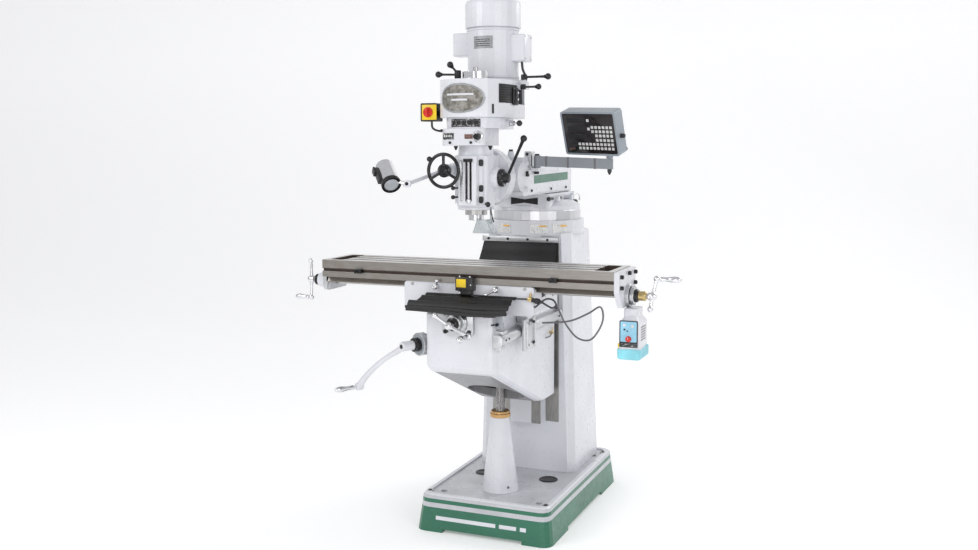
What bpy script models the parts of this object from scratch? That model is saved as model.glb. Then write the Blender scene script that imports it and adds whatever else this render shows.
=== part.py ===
"""Vertical turret milling machine, built as a bench assembly of separate pieces.

Metres, +Z up, +X to the operator's right, the operator stands at -Y.
Sizes are given in the machine's own layout: X = 0 on its middle plane, Y = 0 on the knee's
elevating screw, Z = 0 on the floor. The root empty then moves the whole machine so that the
origin lies on the floor under the middle of the space the machine takes.
"""
import math

import bmesh
import bpy
from mathutils import Matrix, Vector

# ---------------------------------------------------------------- driving dimensions
GAP = 0.0003                    # air between neighbouring pieces
FOOTPRINT_X = -0.0205           # middle of the space the machine takes, in its own layout
FOOTPRINT_Y = 0.0665

BASE_HALF_WIDTH = 0.296
BASE_FRONT = -0.212
BASE_BACK = 0.744
BASE_TOP = 0.155
BASE_CORNER = 0.040
DECK_DEPTH = 0.007
FOOT_HEIGHT = 0.015

COLUMN_TOP = 1.198
FLANGE_TOP = 1.262
SWIVEL_Y = 0.447                # turret's turning axis
FLANGE_RADIUS = 0.210
WAYS_HALF_WIDTH = 0.093
WAYS_FRONT = 0.240
WAYS_ROOT = 0.275
WAYS_BOTTOM = 0.375

NUT_RADIUS = 0.043
PEDESTAL_TOP = 0.459
NUT_TOP = 0.487
SCREW_RADIUS = 0.0195

KNEE_HALF_WIDTH = 0.147
KNEE_FRONT = -0.412
KNEE_BACK = 0.260
KNEE_TOP = 0.945
KNEE_NOSE = 0.728               # height of the knee's front lower edge
KNEE_HEEL = 0.514               # height of the knee's flat rear underside
KNEE_HEEL_Y = 0.090
KNEE_WALL = 0.030
TONGUE_HEIGHT = 0.030

SADDLE_HALF_LENGTH = 0.270
SADDLE_FRONT = -0.333
SADDLE_BACK = -0.060

TABLE_LENGTH = 1.2192
TABLE_WIDTH = 0.2286
TABLE_X = -0.030                # table's middle when at rest
TABLE_Y = -0.2235
TABLE_TOP = 1.128
TABLE_BOTTOM = 1.059
TABLE_TONGUE = 0.024
SLOT_PITCH = 0.0635             # between the table's three T-slots
SLOT_NECK = 0.008               # half widths and depths of a T-slot
SLOT_HEAD = 0.014
SLOT_SHOULDER = 0.017
SLOT_DEPTH = 0.028

Y_SCREW_Z = 0.922
X_SCREW_Z = 1.030
LEAD_SCREW_RADIUS = 0.0125

TURRET_RING_RADIUS = 0.194
TURRET_TOP = 1.3777
RAM_HALF_WIDTH = 0.115
RAM_REAR = 0.580
RAM_FACE = -0.045               # ram's front plane, through the nodding axis
RAM_TOP = 1.490

NOD_Y = -0.045
SWING_Z = 1.459                 # height of the head's nodding and swinging axes
JOINT_FACE_Y = -0.145           # where the head's round flange meets the ram adapter
JOINT_RADIUS = 0.115

SPINDLE_Y = -0.245
MOTOR_Y = -0.068
HEAD_BOTTOM = 1.350
QUILL_RADIUS = 0.043
QUILL_BOTTOM = 1.318
HEAD_NECK_TOP = 1.583
FEED_BOX_TOP = 1.647
BACK_GEAR_TOP = 1.688
BELT_BOX_TOP = 1.830
MOTOR_RADIUS = 0.101
MOTOR_TOP = 2.040
FAN_COVER_RADIUS = 0.110
MACHINE_TOP = 2.148

PULLEY_BOTTOM = 1.704
STEP_HEIGHT = 0.025
STEP_GROOVE = 0.007
SPINDLE_STEPS = (0.056, 0.049, 0.042, 0.035)
MOTOR_STEPS = (0.035, 0.042, 0.049, 0.056)

LAMP_BASE = Vector((-0.1375, -0.160, 1.500))
LAMP_JOINT = Vector((-0.205, -0.430, 1.441))
LAMP_LENS = Vector((-0.263, -0.445, 1.4375))
LAMP_AXIS = Vector((0.5615, -0.573, -0.598)).normalized()
LAMP_RADIUS = 0.036
LAMP_LENGTH = 0.120

DISPLAY_ARM_PIN = Vector((0.128, 0.092, 0.0))
DISPLAY_PIN = Vector((0.418, 0.152, 0.0))
DISPLAY_CORNER = Vector((0.2247, 0.180, 1.5466))    # front face, lower left
DISPLAY_SIZE = (0.258, 0.058, 0.183)
DISPLAY_YAW = math.radians(-15.9)
DISPLAY_ROLL = math.radians(1.8)
DISPLAY_TILT = math.radians(19.1)

QUILL_SHAFT = Vector((0.0, -0.235, 1.460))
HANDWHEEL = Vector((-0.080, -0.370, 1.489))
FEED_KNOB_X = 0.056
FEED_KNOB_Z = 1.616
KNEE_CRANK_AXIS = Vector((-0.470, -0.883, 0.0)).normalized()
KNEE_CRANK_Z = 0.815
KNEE_CRANK_HUB = 0.475          # along the crank's axis, from the elevating screw to its hub
KNEE_CRANK_BOW = 0.070          # how far the arm sweeps outwards
KNEE_CRANK_SIDE = 0.2303        # the grip's pin, across the axis and below it
KNEE_CRANK_DROP = -0.188

# colour, roughness, metallic
FINISHES = {
    "white_paint": ((0.80, 0.80, 0.83), 0.35, 0.0),
    "green_paint": ((0.02, 0.16, 0.09), 0.40, 0.0),
    "ground_steel": ((0.45, 0.43, 0.40), 0.30, 1.0),
    "chrome": ((0.75, 0.75, 0.77), 0.12, 1.0),
    "bronze": ((0.55, 0.36, 0.18), 0.35, 1.0),
    "rubber": ((0.02, 0.02, 0.02), 0.70, 0.0),
    "black_plastic": ((0.03, 0.03, 0.03), 0.40, 0.0),
    "black_steel": ((0.05, 0.05, 0.05), 0.40, 0.6),
    "cast_aluminium": ((0.60, 0.61, 0.62), 0.40, 1.0),
    "grey_case": ((0.42, 0.46, 0.50), 0.45, 0.2),
    "red_plastic": ((0.80, 0.05, 0.03), 0.40, 0.0),
    "clear_plastic": ((0.75, 0.78, 0.80), 0.15, 0.0),
}


# ---------------------------------------------------------------- scene and assembly helpers
def clear_scene():
    for item in list(bpy.data.objects):
        bpy.data.objects.remove(item, do_unlink=True)


def make_finishes():
    for name, (colour, roughness, metallic) in FINISHES.items():
        finish = bpy.data.materials.new(name)
        finish.use_nodes = True
        shader = finish.node_tree.nodes["Principled BSDF"]
        shader.inputs["Base Color"].default_value = (*colour, 1.0)
        shader.inputs["Roughness"].default_value = roughness
        shader.inputs["Metallic"].default_value = metallic


def make_pivot(name, place, parent=None):
    """Empty on a body's joint axis; its pieces and the next bodies hang on it."""
    pivot = bpy.data.objects.new("pivot_" + name, None)
    pivot["layout"] = tuple(place)
    pivot.parent = parent
    here = Vector(parent["layout"]) if parent else Vector((FOOTPRINT_X, FOOTPRINT_Y, 0.0))
    pivot.location = Vector(place) - here
    bpy.context.collection.objects.link(pivot)
    return pivot


def add_piece(shape, name, pivot, finish):
    """Turn a working shape into a named piece that hangs on its body's pivot."""
    shape.name = name
    shape.data.name = name
    shape.data.transform(Matrix.Translation(-Vector(pivot["layout"])))
    shape.parent = pivot
    shape.data.materials.clear()
    shape.data.materials.append(bpy.data.materials[finish])
    shape.data.shade_smooth()
    shape.data.set_sharp_from_angle(angle=math.radians(32))
    return shape


# ---------------------------------------------------------------- shape helpers
def skin(rings, closed=False):
    """Solid through rings of points: capped at both ends, or closed into a loop."""
    work = bmesh.new()
    loops = [[work.verts.new(point) for point in ring] for ring in rings]
    pairs = list(zip(loops, loops[1:]))
    if closed:
        pairs.append((loops[-1], loops[0]))
    for low, high in pairs:
        for i in range(len(low)):
            j = (i + 1) % len(low)
            work.faces.new((low[i], low[j], high[j], high[i]))
    if not closed:
        work.faces.new(reversed(loops[0]))
        work.faces.new(loops[-1])
    bmesh.ops.recalc_face_normals(work, faces=work.faces)
    mesh = bpy.data.meshes.new("shape")
    work.to_mesh(mesh)
    work.free()
    shape = bpy.data.objects.new("shape", mesh)
    bpy.context.collection.objects.link(shape)
    return shape


def on_plane(axis, along, u, v):
    return {"X": (along, u, v), "Y": (u, along, v), "Z": (u, v, along)}[axis]


def loft(axis, sections):
    """Solid through outlines of equal point count at places along an axis."""
    return skin([[on_plane(axis, along, u, v) for u, v in outline] for along, outline in sections])


def prism(axis, outline, low, high):
    return loft(axis, [(low, outline), (high, outline)])


def rounded(half_u, half_v, radius, centre=(0.0, 0.0), steps=3):
    """Rectangle outline with round corners."""
    outline = []
    for quarter, (su, sv) in enumerate(((1, 1), (-1, 1), (-1, -1), (1, -1))):
        for step in range(steps + 1):
            angle = math.radians(90 * (quarter + step / steps))
            u = centre[0] + su * (half_u - radius) + radius * math.cos(angle)
            v = centre[1] + sv * (half_v - radius) + radius * math.sin(angle)
            outline.append((u, v))
    return outline


def mirrored(outline):
    """The outline and its mirror image across the middle plane, as one loop."""
    return outline + [(-u, v) for u, v in outline[::-1]]


def arc(centre, radius, start, end, steps):
    """Points on an arc, angles in degrees, both ends included."""
    turn = [math.radians(start + (end - start) * i / steps) for i in range(steps + 1)]
    return [(centre[0] + radius * math.cos(a), centre[1] + radius * math.sin(a)) for a in turn]


def block(low, high, radius=0.0, axis="Z", steps=2):
    """Box between two corners, its edges along one axis rounded."""
    first, second, third = {"X": (1, 2, 0), "Y": (0, 2, 1), "Z": (0, 1, 2)}[axis]
    half_u = (high[first] - low[first]) / 2
    half_v = (high[second] - low[second]) / 2
    centre = ((high[first] + low[first]) / 2, (high[second] + low[second]) / 2)
    if radius:
        outline = rounded(half_u, half_v, radius, centre, steps)
    else:
        corners = ((1, 1), (-1, 1), (-1, -1), (1, -1))
        outline = [(centre[0] + su * half_u, centre[1] + sv * half_v) for su, sv in corners]
    return prism(axis, outline, low[third], high[third])


def turned(start, direction, stations, sides=16):
    """Round solid: (distance along the axis, radius) stations from a start point."""
    axis = Vector(direction).normalized()
    side = axis.orthogonal().normalized()
    if abs(axis.z) > 0.99:
        side = Vector((1.0, 0.0, 0.0))
    other = axis.cross(side)
    rings = []
    for distance, radius in stations:
        centre = Vector(start) + axis * distance
        turn = [2 * math.pi * i / sides for i in range(sides)]
        rings.append([centre + (side * math.cos(a) + other * math.sin(a)) * radius for a in turn])
    return skin(rings)


def rod(start, end, radius, sides=12):
    run = Vector(end) - Vector(start)
    return turned(start, run, [(0.0, radius), (run.length, radius)], sides)


def ball_stations(centre, radius, neck, steps=4):
    """Stations of a ball that grows out of a rod with the neck's radius."""
    first = math.asin(neck / radius)
    last = math.pi - 0.35
    angles = [first + (last - first) * i / steps for i in range(steps + 1)]
    return [(centre - radius * math.cos(a), radius * math.sin(a)) for a in angles]


def ball_lever(start, end, rod_radius, ball_radius, sides=10):
    """Rod with a ball at its far end; the end point is the ball's centre."""
    run = Vector(end) - Vector(start)
    stations = [(0.0, rod_radius)] + ball_stations(run.length, ball_radius, rod_radius)
    return turned(start, run, stations, sides)


def pipe(path, radii, sides=8):
    """Round bar along a bent path, with a radius at each point."""
    points = [Vector(p) for p in path]
    rings = []
    for i, point in enumerate(points):
        along = (points[min(i + 1, len(points) - 1)] - points[max(i - 1, 0)]).normalized()
        side = along.cross(Vector((0.0, 0.0, 1.0)))
        if side.length < 0.1:
            side = along.cross(Vector((0.0, 1.0, 0.0)))
        side.normalize()
        other = along.cross(side)
        turn = [2 * math.pi * k / sides for k in range(sides)]
        rings.append([point + (side * math.cos(a) + other * math.sin(a)) * radii[i] for a in turn])
    return skin(rings)


def ring_bar(centre, axis, radius, bar_radius, sides=24, bar_sides=6):
    """Torus: a round bar bent into a ring."""
    axis = Vector(axis).normalized()
    side = axis.orthogonal().normalized()
    other = axis.cross(side)
    rings = []
    for i in range(sides):
        a = 2 * math.pi * i / sides
        out = side * math.cos(a) + other * math.sin(a)
        middle = Vector(centre) + out * radius
        turn = [2 * math.pi * k / bar_sides for k in range(bar_sides)]
        rings.append([middle + (out * math.cos(b) + axis * math.sin(b)) * bar_radius for b in turn])
    return skin(rings, closed=True)


def sheet(path, half_width, thickness, middle=0.0):
    """Bent sheet, straight along X, following (y, z) points."""
    points = [Vector((0.0, y, z)) for y, z in path]
    front, back = [], []
    for i, point in enumerate(points):
        along = (points[min(i + 1, len(points) - 1)] - points[max(i - 1, 0)]).normalized()
        normal = Vector((0.0, -along.z, along.y)) * thickness / 2
        front.append((point.y + normal.y, point.z + normal.z))
        back.append((point.y - normal.y, point.z - normal.z))
    return prism("X", front + back[::-1], middle - half_width, middle + half_width)


def combine(target, tools, operation):
    """Boolean the tools into the target one by one, then remove them."""
    for tool in tools:
        step = target.modifiers.new("step", "BOOLEAN")
        step.operation = operation
        step.solver = "EXACT"
        step.object = tool
        bpy.context.view_layer.update()
        graph = bpy.context.evaluated_depsgraph_get()
        result = bpy.data.meshes.new_from_object(target.evaluated_get(graph))
        target.modifiers.clear()
        target.data = result
        bpy.data.objects.remove(tool, do_unlink=True)
    return target


def unite(target, *tools):
    return combine(target, tools, "UNION")


def cut(target, *tools):
    return combine(target, tools, "DIFFERENCE")


def bevel_edges(shape, width, segments, wanted):
    """Round the edges whose two end points the test accepts."""
    work = bmesh.new()
    work.from_mesh(shape.data)
    edges = [e for e in work.edges if wanted(e.verts[0].co, e.verts[1].co)]
    bmesh.ops.bevel(work, geom=edges, offset=width, segments=segments, profile=0.5,
                    affect="EDGES", clamp_overlap=True)
    work.to_mesh(shape.data)
    work.free()
    return shape


# ---------------------------------------------------------------- base and column
def base_casting():
    middle_y = (BASE_FRONT + BASE_BACK) / 2
    half_depth = (BASE_BACK - BASE_FRONT) / 2

    def outline(inset):
        return rounded(BASE_HALF_WIDTH - inset, half_depth - inset, BASE_CORNER, (0.0, middle_y), 3)

    draft = 0.014
    rim = 0.026
    body = loft("Z", [(0.0, outline(0.0)), (0.120, outline(draft)), (0.148, outline(draft + 0.003)),
                      (BASE_TOP, outline(draft + 0.010))])
    deck = prism("Z", outline(draft + rim), BASE_TOP - DECK_DEPTH, BASE_TOP + 0.02)
    front_notch = block((-0.175, BASE_FRONT - 0.1, -0.02), (0.175, BASE_BACK + 0.1, FOOT_HEIGHT))
    side_notch = block((-0.4, 0.020, -0.02), (0.4, 0.500, FOOT_HEIGHT))
    screw_well = turned((0.0, 0.0, -0.02), (0, 0, 1), [(0.0, 0.026), (0.30, 0.026)])
    cut(body, deck, front_notch, side_notch, screw_well)
    for x, y in ((-0.205, -0.120), (0.215, -0.120), (0.225, 0.600), (-0.225, 0.600)):
        cut(body, turned((x, y, -0.02), (0, 0, 1), [(0.0, 0.014), (0.30, 0.014)], 10))
    return body


def column_outline(front_half, front, side_half, side_front, side_back, back_half, back):
    return mirrored([(front_half, front), (side_half, side_front), (side_half, side_back),
                     (back_half, back)])


def column():
    foot = column_outline(0.196, 0.305, 0.225, 0.335, 0.660, 0.150, 0.7035)
    head = column_outline(0.165, 0.290, 0.193, 0.345, 0.600, 0.150, 0.672)
    body = loft("Z", [(BASE_TOP - DECK_DEPTH + GAP, foot), (COLUMN_TOP + 0.01, head)])
    dovetail = [(WAYS_HALF_WIDTH, WAYS_FRONT), (WAYS_HALF_WIDTH - 0.015, WAYS_ROOT),
                (WAYS_HALF_WIDTH - 0.015, 0.34)]
    dovetail = mirrored(dovetail)
    ways = prism("Z", dovetail, WAYS_BOTTOM, COLUMN_TOP + 0.005)
    flange = turned((0.0, SWIVEL_Y, COLUMN_TOP), (0, 0, 1),
                    [(0.0, FLANGE_RADIUS), (FLANGE_TOP - COLUMN_TOP, FLANGE_RADIUS)], 32)
    return unite(body, ways, flange)


def screw_pedestal():
    low = BASE_TOP - DECK_DEPTH + GAP
    cone = turned((0.0, 0.0, low), (0, 0, 1),
                  [(0.0, 0.076), (0.012, 0.075), (PEDESTAL_TOP - low, 0.0385)], 24)
    bore = turned((0.0, 0.0, 0.1), (0, 0, 1), [(0.0, 0.026), (0.5, 0.026)])
    return cut(cone, bore)


def elevating_nut():
    body = turned((0.0, 0.0, 0.400), (0, 0, 1),
                  [(0.0, 0.0245), (PEDESTAL_TOP + GAP - 0.400, 0.0245),
                   (PEDESTAL_TOP + GAP - 0.400, NUT_RADIUS), (NUT_TOP - 0.403, NUT_RADIUS),
                   (NUT_TOP - 0.400, NUT_RADIUS - 0.003)], 20)
    bore = turned((0.0, 0.0, 0.3), (0, 0, 1),
                  [(0.0, SCREW_RADIUS + 0.0008), (0.3, SCREW_RADIUS + 0.0008)], 20)
    return cut(body, bore)


def way_cover_strip():
    return block((-0.177, WAYS_FRONT - 0.0055, 1.172), (0.177, WAYS_FRONT - GAP, 1.195))


def rear_way_cover():
    hang = [(WAYS_FRONT - 0.0085, 1.188), (0.219, 1.150), (0.196, 1.095), (0.168, 1.040),
            (0.148, 1.000), (0.142, 0.980)]
    return sheet(hang, 0.170, 0.004)


# ---------------------------------------------------------------- knee
def knee_casting():
    side = [(KNEE_FRONT, KNEE_NOSE), (KNEE_HEEL_Y, KNEE_HEEL), (KNEE_BACK, KNEE_HEEL),
            (KNEE_BACK, KNEE_TOP), (KNEE_FRONT, KNEE_TOP)]
    body = prism("X", side, -KNEE_HALF_WIDTH, KNEE_HALF_WIDTH)

    def outer_edge(a, b):
        at_front = max(a.y, b.y) < KNEE_FRONT + 0.001 and abs(a.x - b.x) < 0.001
        sloping = abs(a.x - b.x) < 0.001 and abs(a.y - b.y) > 0.3 and min(a.z, b.z) < KNEE_HEEL + 0.01
        nose = max(a.z, b.z) < KNEE_NOSE + 0.001 and max(a.y, b.y) < KNEE_FRONT + 0.001
        return at_front or sloping or nose

    bevel_edges(body, 0.028, 3, outer_edge)
    tongue = [(0.092, KNEE_TOP - 0.005), (0.107, KNEE_TOP + TONGUE_HEIGHT)]
    tongue = mirrored(tongue)
    unite(body, prism("Y", tongue, KNEE_FRONT, 0.220))

    slope = (KNEE_HEEL - KNEE_NOSE) / (KNEE_HEEL_Y - KNEE_FRONT)
    hollow_front = KNEE_FRONT + KNEE_WALL
    roof = 0.850
    floor = KNEE_HEEL + KNEE_WALL
    hollow = [(hollow_front, KNEE_NOSE + slope * KNEE_WALL + 0.033), (KNEE_HEEL_Y + 0.01, floor),
              (KNEE_BACK - 0.05, floor), (KNEE_BACK - 0.05, roof), (hollow_front, roof)]
    half = KNEE_HALF_WIDTH - KNEE_WALL
    belly = prism("X", hollow, -half, half)
    turn = [math.radians(15 * i) for i in range(24)]
    oval = [(0.115 * math.cos(a), -0.048 + 0.125 * math.sin(a)) for a in turn]
    mouth = prism("Z", oval, 0.45, 0.66)
    channel = block((-0.045, KNEE_FRONT + 0.026, 0.880), (0.045, 0.160, 1.05))
    screw_hole = rod((0.0, KNEE_FRONT - 0.05, Y_SCREW_Z), (0.0, KNEE_FRONT + 0.06, Y_SCREW_Z), 0.018)
    crank_hole = rod(crank_point(0.10), crank_point(0.45), 0.017)
    dovetail = [(WAYS_HALF_WIDTH + GAP, WAYS_FRONT - GAP), (WAYS_HALF_WIDTH - 0.015 + GAP, WAYS_ROOT),
                (WAYS_HALF_WIDTH - 0.015 + GAP, 0.34)]
    dovetail = mirrored(dovetail)
    groove = prism("Z", dovetail, 0.4, 1.1)
    cut(body, belly, mouth, channel, screw_hole, crank_hole, groove)
    bridge = block((-half - 0.01, -0.050, 0.742), (half + 0.01, 0.050, 0.760))
    bore = turned((0.0, 0.0, 0.70), (0, 0, 1),
                  [(0.0, SCREW_RADIUS + 0.001), (0.1, SCREW_RADIUS + 0.001)], 20)
    unite(body, bridge)
    return cut(body, bore)


def crank_point(reach, side=0.0, up=0.0):
    """Point by distance along the knee crank's axis, across it and above it."""
    across = Vector((KNEE_CRANK_AXIS.y, -KNEE_CRANK_AXIS.x, 0.0))
    return Vector((0.0, 0.0, KNEE_CRANK_Z + up)) + KNEE_CRANK_AXIS * reach + across * side


def crank_pin_place():
    """Where the knee crank's grip sits on the end of its arm."""
    return crank_point(KNEE_CRANK_HUB + KNEE_CRANK_BOW, KNEE_CRANK_SIDE, KNEE_CRANK_DROP)


def elevating_screw():
    return turned((0.0, 0.0, 0.270), (0, 0, 1),
                  [(0.0, SCREW_RADIUS - 0.002), (0.003, SCREW_RADIUS), (0.496, SCREW_RADIUS),
                   (0.496, 0.030), (0.500, 0.041), (0.512, 0.035), (0.512, 0.014), (0.520, 0.014)], 20)


def y_screw_bearing():
    plate = block((-0.0635, KNEE_FRONT - 0.018, Y_SCREW_Z - 0.049),
                  (0.0635, KNEE_FRONT - GAP, Y_SCREW_Z + 0.049), 0.010, "Y")
    collar = turned((0.0, KNEE_FRONT - 0.010, Y_SCREW_Z), (0, -1, 0),
                    [(0.0, 0.043), (0.026, 0.043), (0.030, 0.038)], 20)
    unite(plate, collar)
    for x in (-0.048, 0.048):
        for up in (-0.035, 0.035):
            head = turned((x, KNEE_FRONT - 0.012, Y_SCREW_Z + up), (0, -1, 0),
                          [(0.0, 0.007), (0.011, 0.007)], 6)
            unite(plate, head)
    bore = rod((0.0, KNEE_FRONT + 0.02, Y_SCREW_Z), (0.0, KNEE_FRONT - 0.08, Y_SCREW_Z),
               LEAD_SCREW_RADIUS + 0.0012, 16)
    return cut(plate, bore)


def y_leadscrew():
    """Cross screw with its turning dial."""
    return turned((0.0, 0.080, Y_SCREW_Z), (0, -1, 0),
                  [(0.0, LEAD_SCREW_RADIUS), (0.5325, LEAD_SCREW_RADIUS), (0.5325, 0.026),
                   (0.535, 0.028), (0.550, 0.028), (0.553, 0.024), (0.553, 0.010), (0.5695, 0.010)], 16)


def y_crank():
    hub = Vector((0.0, KNEE_FRONT - 0.093, Y_SCREW_Z))
    return ball_crank(hub, (0, -1, 0), hub + Vector((0.083, -0.010, -0.032)),
                      hub + Vector((-0.054, -0.008, 0.036)))


def y_crank_grip():
    tip = Vector((0.083, KNEE_FRONT - 0.103 - 0.017 - GAP, Y_SCREW_Z - 0.032))
    return crank_grip(tip, (0, -1, 0))


def ball_crank(hub, axis, tip, counter, hub_radius=0.015, hub_length=0.030):
    """Ball crank: a hub on its shaft, an arm with the grip's ball, a smaller counter ball."""
    hub, axis = Vector(hub), Vector(axis).normalized()
    body = turned(hub - axis * hub_length / 2, axis,
                  [(0.0, hub_radius), (hub_length * 0.8, hub_radius), (hub_length, hub_radius * 0.7)], 16)
    unite(body, ball_lever(hub, tip, 0.0062, 0.0125))
    unite(body, ball_lever(hub, counter, 0.0062, 0.0110))
    pin = rod(hub + (Vector(tip) - hub), Vector(tip) + axis * 0.017, 0.006)
    return unite(body, pin)


def crank_grip(start, axis, length=0.078):
    """Waisted handle that turns on the crank's pin."""
    profile = [(0.0, 0.0075), (0.10, 0.0095), (0.30, 0.0085), (0.60, 0.0125), (0.85, 0.0115),
               (1.0, 0.0060)]
    return turned(start, axis, [(share * length, radius) for share, radius in profile], 10)


def knee_crank_bearing():
    """Boss on the knee's left side and the fixed dial of the elevating crank."""
    body = turned(crank_point(0.27), KNEE_CRANK_AXIS,
                  [(0.0, 0.040), (0.120, 0.038), (0.120, 0.044), (0.143, 0.044), (0.147, 0.040)], 20)
    side = block((-KNEE_HALF_WIDTH - GAP, -0.6, 0.7), (0.1, 0.1, 0.95))
    bore = rod(crank_point(0.20), crank_point(0.50), 0.0145, 16)
    return cut(body, side, bore)


def knee_crank():
    """Shaft with its bevel pinion, hub and long swept arm."""
    shaft = turned(crank_point(0.052), KNEE_CRANK_AXIS,
                   [(0.0, 0.020), (0.016, 0.026), (0.016, 0.0125), (0.420 - 0.052, 0.0125),
                    (0.420 - 0.052, 0.026), (0.440 - 0.052, 0.026), (0.440 - 0.052, 0.018),
                    (0.487 - 0.052, 0.018), (0.490 - 0.052, 0.014)], 16)
    path, radii = [], []
    for i in range(9):
        share = i / 8
        bow = KNEE_CRANK_BOW * (3 * share ** 2 - 2 * share ** 3)
        rise = 0.022 * math.sin(math.pi * share)
        path.append(crank_point(KNEE_CRANK_HUB + bow, KNEE_CRANK_SIDE * share,
                                KNEE_CRANK_DROP * share + rise))
        radii.append(0.0135 - 0.0035 * math.sin(math.pi * share))
    unite(shaft, pipe(path, radii))
    tip = crank_pin_place()
    boss = turned(tip - KNEE_CRANK_AXIS * 0.014, KNEE_CRANK_AXIS,
                  [(0.0, 0.015), (0.026, 0.015), (0.029, 0.012)], 14)
    pin = rod(tip, tip + KNEE_CRANK_AXIS * 0.024, 0.006)
    return unite(shaft, boss, pin)


def knee_crank_grip():
    tip = crank_pin_place()
    return crank_grip(tip + KNEE_CRANK_AXIS * (0.024 + GAP), KNEE_CRANK_AXIS, 0.088)


def y_scale():
    """Cast cover of the cross-travel scale, bolted to the knee's right side."""
    low = [(KNEE_HALF_WIDTH + GAP, 0.838), (0.176, 0.846), (0.182, 0.862), (0.176, 0.878),
           (KNEE_HALF_WIDTH + GAP, 0.884)]
    return prism("Y", low, KNEE_FRONT - 0.020, 0.262)


# ---------------------------------------------------------------- saddle
def saddle_casting():
    low, high = KNEE_TOP + GAP, TABLE_BOTTOM - GAP
    body = block((-SADDLE_HALF_LENGTH, SADDLE_FRONT, low), (SADDLE_HALF_LENGTH, SADDLE_BACK, high),
                 0.012, "Y")
    tongue = [(0.092 + GAP, KNEE_TOP - 0.02), (0.107 + GAP, KNEE_TOP + TONGUE_HEIGHT + GAP)]
    tongue = mirrored(tongue)
    knee_groove = prism("Y", tongue, -0.5, 0.1)
    floor = TABLE_BOTTOM - TABLE_TONGUE - GAP
    slot = [(TABLE_Y - 0.085 - GAP, floor), (TABLE_Y + 0.085 + GAP, floor),
            (TABLE_Y + 0.070 + GAP, TABLE_BOTTOM + 0.01), (TABLE_Y - 0.070 - GAP, TABLE_BOTTOM + 0.01)]
    table_groove = prism("X", slot, -0.4, 0.4)
    trench = block((-0.4, TABLE_Y - 0.022, 1.008), (0.4, TABLE_Y + 0.022, 1.10))
    cut(body, knee_groove, table_groove, trench)
    x_nut = block((-0.030, TABLE_Y - 0.018, 1.000), (0.030, TABLE_Y + 0.018, 1.0485))
    y_nut = block((-0.030, -0.250, 0.896), (0.030, -0.190, 0.985))
    unite(body, x_nut, y_nut)
    x_bore = rod((-0.1, TABLE_Y, X_SCREW_Z), (0.1, TABLE_Y, X_SCREW_Z), LEAD_SCREW_RADIUS + 0.0008, 16)
    y_bore = rod((0.0, -0.3, Y_SCREW_Z), (0.0, -0.1, Y_SCREW_Z), LEAD_SCREW_RADIUS + 0.0008, 16)
    return cut(body, x_bore, y_bore)


def front_way_cover():
    hang = [(SADDLE_FRONT - 0.0025, 1.012), (-0.375, 1.005), (-0.425, 0.993), (-0.458, 0.976),
            (-0.468, 0.958)]
    return sheet(hang, 0.188, 0.004, -0.006)


def limit_switch():
    body = block((-0.036, -0.372, 1.034), (0.036, TABLE_Y - TABLE_WIDTH / 2 - 0.002, 1.086), 0.004, "Y")
    foot = block((-0.026, -0.362, 1.018), (0.026, SADDLE_FRONT - GAP, 1.036))
    return unite(body, foot)


def y_scale_reader():
    """Reading head of the cross scale on its bracket from the saddle."""
    arm = block((0.150, -0.200, 0.895), (0.200, -0.150, KNEE_TOP), 0.006)
    plate = block((0.186, -0.235, 0.790), (0.200, -0.115, 0.925), 0.004, "Y")
    return unite(arm, plate)


def table_lock(x, z, tip):
    hub = turned((x, SADDLE_FRONT - GAP, z), (0, -1, 0),
                 [(0.0, 0.010), (0.022, 0.010), (0.026, 0.007)], 12)
    return unite(hub, ball_lever((x, SADDLE_FRONT - 0.014, z), tip, 0.004, 0.008, 10))


# ---------------------------------------------------------------- table
def table():
    left, right = TABLE_X - TABLE_LENGTH / 2, TABLE_X + TABLE_LENGTH / 2
    front, back = TABLE_Y - TABLE_WIDTH / 2, TABLE_Y + TABLE_WIDTH / 2
    body = block((left, front, TABLE_BOTTOM), (right, back, TABLE_TOP))
    low = TABLE_BOTTOM - TABLE_TONGUE
    tongue = [(TABLE_Y - 0.085, low), (TABLE_Y + 0.085, low), (TABLE_Y + 0.070, TABLE_BOTTOM + 0.003),
              (TABLE_Y - 0.070, TABLE_BOTTOM + 0.003)]
    unite(body, prism("X", tongue, left + 0.004, right - 0.004))
    channel = block((left - 0.01, TABLE_Y - 0.022, 1.0), (right + 0.01, TABLE_Y + 0.022, 1.052))
    stop_groove = block((left - 0.01, front - 0.01, 1.082), (right + 0.01, front + 0.009, 1.093))
    cut(body, channel, stop_groove)
    for row in (-1, 0, 1):
        half = [(SLOT_NECK, TABLE_TOP + 0.01), (SLOT_NECK, TABLE_TOP - SLOT_SHOULDER),
                (SLOT_HEAD, TABLE_TOP - SLOT_SHOULDER), (SLOT_HEAD, TABLE_TOP - SLOT_DEPTH)]
        slot = [(TABLE_Y + row * SLOT_PITCH + v, z) for v, z in mirrored(half)]
        cut(body, prism("X", slot, left + 0.040, right - 0.040))
    for low_x, high_x in ((left + 0.024, left + 0.082), (right - 0.082, right - 0.024)):
        cut(body, block((low_x, front + 0.022, TABLE_TOP - 0.030),
                        (high_x, back - 0.022, TABLE_TOP + 0.01),
                        0.010))
    return body


def table_bracket_left():
    left = TABLE_X - TABLE_LENGTH / 2 - GAP
    plate = block((left - 0.016, TABLE_Y - 0.085, 0.998), (left, TABLE_Y + 0.085, 1.075), 0.020, "X")
    barrel = turned((left - 0.010, TABLE_Y, X_SCREW_Z), (-1, 0, 0),
                    [(0.0, 0.036), (0.030, 0.030), (0.062, 0.028), (0.070, 0.028)], 20)
    unite(plate, barrel)
    return cut(plate, rod((left + 0.02, TABLE_Y, X_SCREW_Z), (left - 0.1, TABLE_Y, X_SCREW_Z), 0.0137,
                          16))


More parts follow.
